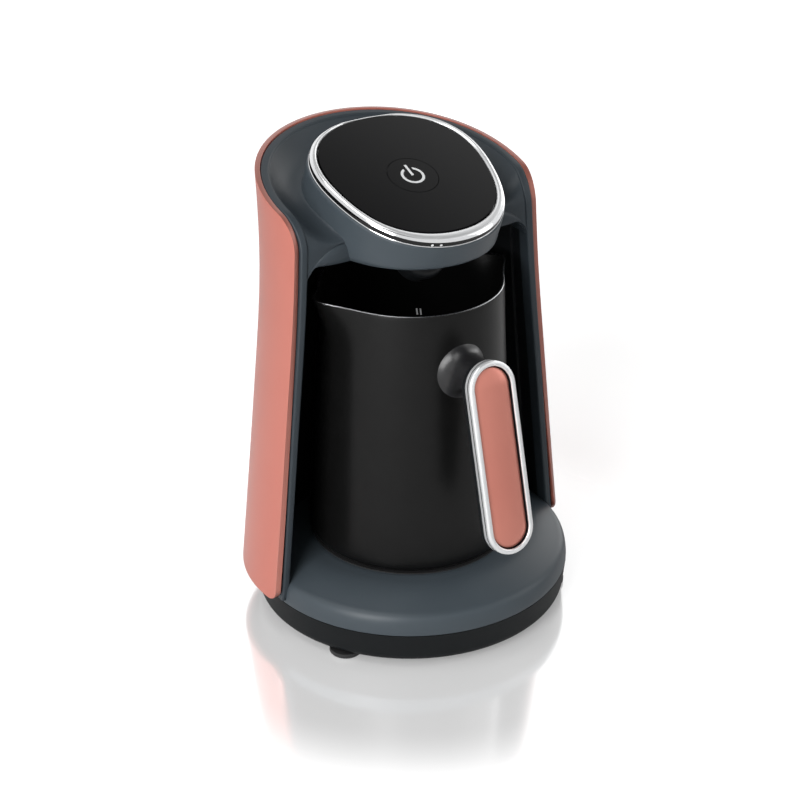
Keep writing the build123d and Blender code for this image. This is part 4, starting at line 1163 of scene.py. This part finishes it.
        low, high = (np.full((columns, 1), reach) for reach in self.stem_reach)
        along = self.stem_start + (halve(low, high, outside) - self.stem_start) * share
        middle = (start + 20 * axis + (0, 0, LIFT)) * MM
        make_piece("stem_skin", [Sheet(ring + along[..., None] * axis, True)],
                   [Finishes.stem_gloss], Body.POT, ["handle_stem"],
                   outward=lambda centres: centres - middle)


# ---------- studio
def hang(data: bpy.types.ID, place: Sequence[float], target: Sequence[float]) -> bpy.types.Object:
    """Hang a lamp or a camera.

    Args:
        data: Its lamp or camera data.
        place: Where it hangs, in metres.
        target: What it faces.

    Returns:
        The new object.
    """
    hung = bpy.data.objects.new(data.name, data)
    bpy.context.scene.collection.objects.link(hung)
    hung.location = place
    aim = Vector(target) - Vector(place)
    hung.rotation_euler = aim.to_track_quat("-Z", "Y").to_euler()
    return hung


@dataclass(frozen=True)
class Softbox:
    """One soft lamp: where it hangs, its size in metres, its power and what it faces."""

    name: str
    place: Triple
    size: Pair
    watts: float
    target: Triple = (0.0, 0.0, 0.12)

    def light(self) -> None:
        """Make the lamp and hang it."""
        lamp = bpy.data.lights.new(self.name, "AREA")
        lamp.shape, lamp.energy = "RECTANGLE", self.watts
        lamp.size, lamp.size_y = self.size
        hang(lamp, self.place, self.target)


@dataclass
class Studio:
    """Pale floor, pale surroundings, soft lamps and the camera."""

    eye: Triple = (-0.4034, -0.6376, 0.4910)
    target: Triple = (0.0, 0.0318, 0.1124)
    lens: float = 78.03
    shift: Pair = (0.021, -0.0464)
    floor_size: float = 6.0
    floor_shade: str = "F4F4F4"
    floor_mirror: float = 0.5
    mirror_roughness: float = 0.12
    mirror_fade: Pair = (0.12, 0.18)
    mirror_slant: Pair = (0.18, 0.33)
    floor_glow: Pair = (0.52, 0.9)
    glow_reach: Pair = (0.3, 1.2)
    world_light: float = 0.22
    horizon_light: float = 1.15
    zenith_light: float = 0.08
    sky_fade: Pair = (0.68, 0.84)
    behind_share: float = 0.8
    ahead: Triple = (0.516, 0.857, 0.0)
    ahead_fade: Pair = (0.0, 0.7)
    boxes: tuple[Softbox, ...] = (
        Softbox("key_left", (-1.05, -0.62, 0.62), (0.6, 1.1), 15.0),
        Softbox("fill_right", (1.0, -0.6, 0.6), (0.5, 1.0), 1.8),
        Softbox("top", (-0.45, 0.0, 1.25), (0.8, 0.6), 4.0),
        Softbox("rim_right", (1.1, 0.45, 0.5), (0.5, 1.0), 2.2),
    )

    def build(self) -> None:
        """Make floor, world, lamps and camera."""
        self._floor()
        self._world()
        for box in self.boxes:
            box.light()
        lens = bpy.data.cameras.new("camera")
        lens.lens, lens.sensor_width = self.lens, 36.0
        lens.shift_x, lens.shift_y = self.shift
        bpy.context.scene.camera = hang(lens, self.eye, self.target)
        bpy.context.scene.view_settings.view_transform = "Standard"

    def _floor(self) -> None:
        """Lay a flat pale floor, white far out, with a mirror image that fades away.

        The mirror fades with the distance from the machine, and where it is seen from
        high above, as a gloss does.
        """
        half = self.floor_size / 2
        mesh = bpy.data.meshes.new("studio_floor")
        mesh.from_pydata([(-half, -half, 0), (half, -half, 0), (half, half, 0), (-half, half, 0)],
                         [], [(0, 1, 2, 3)])
        floor = bpy.data.objects.new("studio_floor", mesh)
        bpy.context.scene.collection.objects.link(floor)
        # Polished white acrylic sheet: a soft grey mirror image fades into white.
        material, tree = new_tree(bpy.data.materials, "polished_acrylic_white")
        sheet = add_node(tree, "BsdfDiffuse", {"Color": linear(self.floor_shade)})
        mirror = add_node(tree, "BsdfGlossy", {
            "Color": WHITE, "Roughness": self.mirror_roughness})
        place = add_node(tree, "TexCoord").outputs["Object"]
        away = add_node(tree, "VectorMath", {0: place}, operation="LENGTH")
        slant = add_node(tree, "LayerWeight", {"Blend": 0.5})
        share, grazing, strength = (
            add_node(tree, "MapRange", {
                "Value": value, "From Min": low, "From Max": high, "To Min": first, "To Max": last},
                interpolation_type=ease).outputs[0]
            for value, (low, high), (first, last), ease in (
                (away.outputs["Value"], self.mirror_fade, (self.floor_mirror, 0.0), "SMOOTHSTEP"),
                (slant.outputs["Facing"], self.mirror_slant, (0.0, 1.0), "SMOOTHSTEP"),
                (away.outputs["Value"], self.glow_reach, self.floor_glow, "LINEAR")))
        gloss = add_node(tree, "Math", {0: share, 1: grazing}, operation="MULTIPLY")
        glow = add_node(tree, "Emission", {"Color": WHITE, "Strength": strength})
        pale = add_node(tree, "AddShader", {0: sheet.outputs[0], 1: glow.outputs[0]})
        polished = add_node(tree, "MixShader", {
            0: gloss.outputs[0], 1: pale.outputs[0], 2: mirror.outputs[0]})
        path = add_node(tree, "LightPath")
        seen = add_node(tree, "MixShader", {
            0: path.outputs["Is Camera Ray"], 1: sheet.outputs[0], 2: polished.outputs[0]})
        add_node(tree, "OutputMaterial", {"Surface": seen.outputs[0]})
        mesh.materials.append(material)

    def _world(self) -> None:
        """Surround the machine with even light, white where the camera sees it.

        Reflections see a bright horizon and a dark zenith, a little dimmer behind.
        """
        world, tree = new_tree(bpy.data.worlds, "studio_world")
        bpy.context.scene.world = world
        path = add_node(tree, "LightPath")
        way = add_node(tree, "TexCoord").outputs["Generated"]
        height = add_node(tree, "SeparateXYZ", {0: way}).outputs["Z"]
        ahead = add_node(tree, "VectorMath", {0: way, 1: self.ahead},
                         operation="DOT_PRODUCT").outputs["Value"]
        sky, side = (
            add_node(tree, "MapRange", {
                "Value": value, "From Min": low, "From Max": high, "To Min": first, "To Max": last},
                interpolation_type="SMOOTHSTEP").outputs[0]
            for value, (low, high), first, last in (
                (height, self.sky_fade, self.horizon_light, self.zenith_light),
                (ahead, self.ahead_fade, self.behind_share, 1.0)))
        gleam = add_node(tree, "Math", {0: sky, 1: side}, operation="MULTIPLY")
        lit, shine, seen = (
            add_node(tree, "Background", {"Color": WHITE, "Strength": strength})
            for strength in (self.world_light, gleam.outputs[0], 1.0))
        first = add_node(tree, "MixShader", {
            0: path.outputs["Is Glossy Ray"], 1: lit.outputs[0], 2: shine.outputs[0]})
        mix = add_node(tree, "MixShader", {
            0: path.outputs["Is Camera Ray"], 1: first.outputs[0], 2: seen.outputs[0]})
        add_node(tree, "OutputWorld", {"Surface": mix.outputs[0]})


def main() -> None:
    """Build the machine's sub-assemblies in order, then the studio."""
    logging.basicConfig(level=logging.INFO, format="%(message)s")
    for part in (Dressing(), Shell(), Housing(), BaseCover(), Head(), Pot(), Handle(), Studio()):
        part.build()


if __name__ == "__main__":
    main()
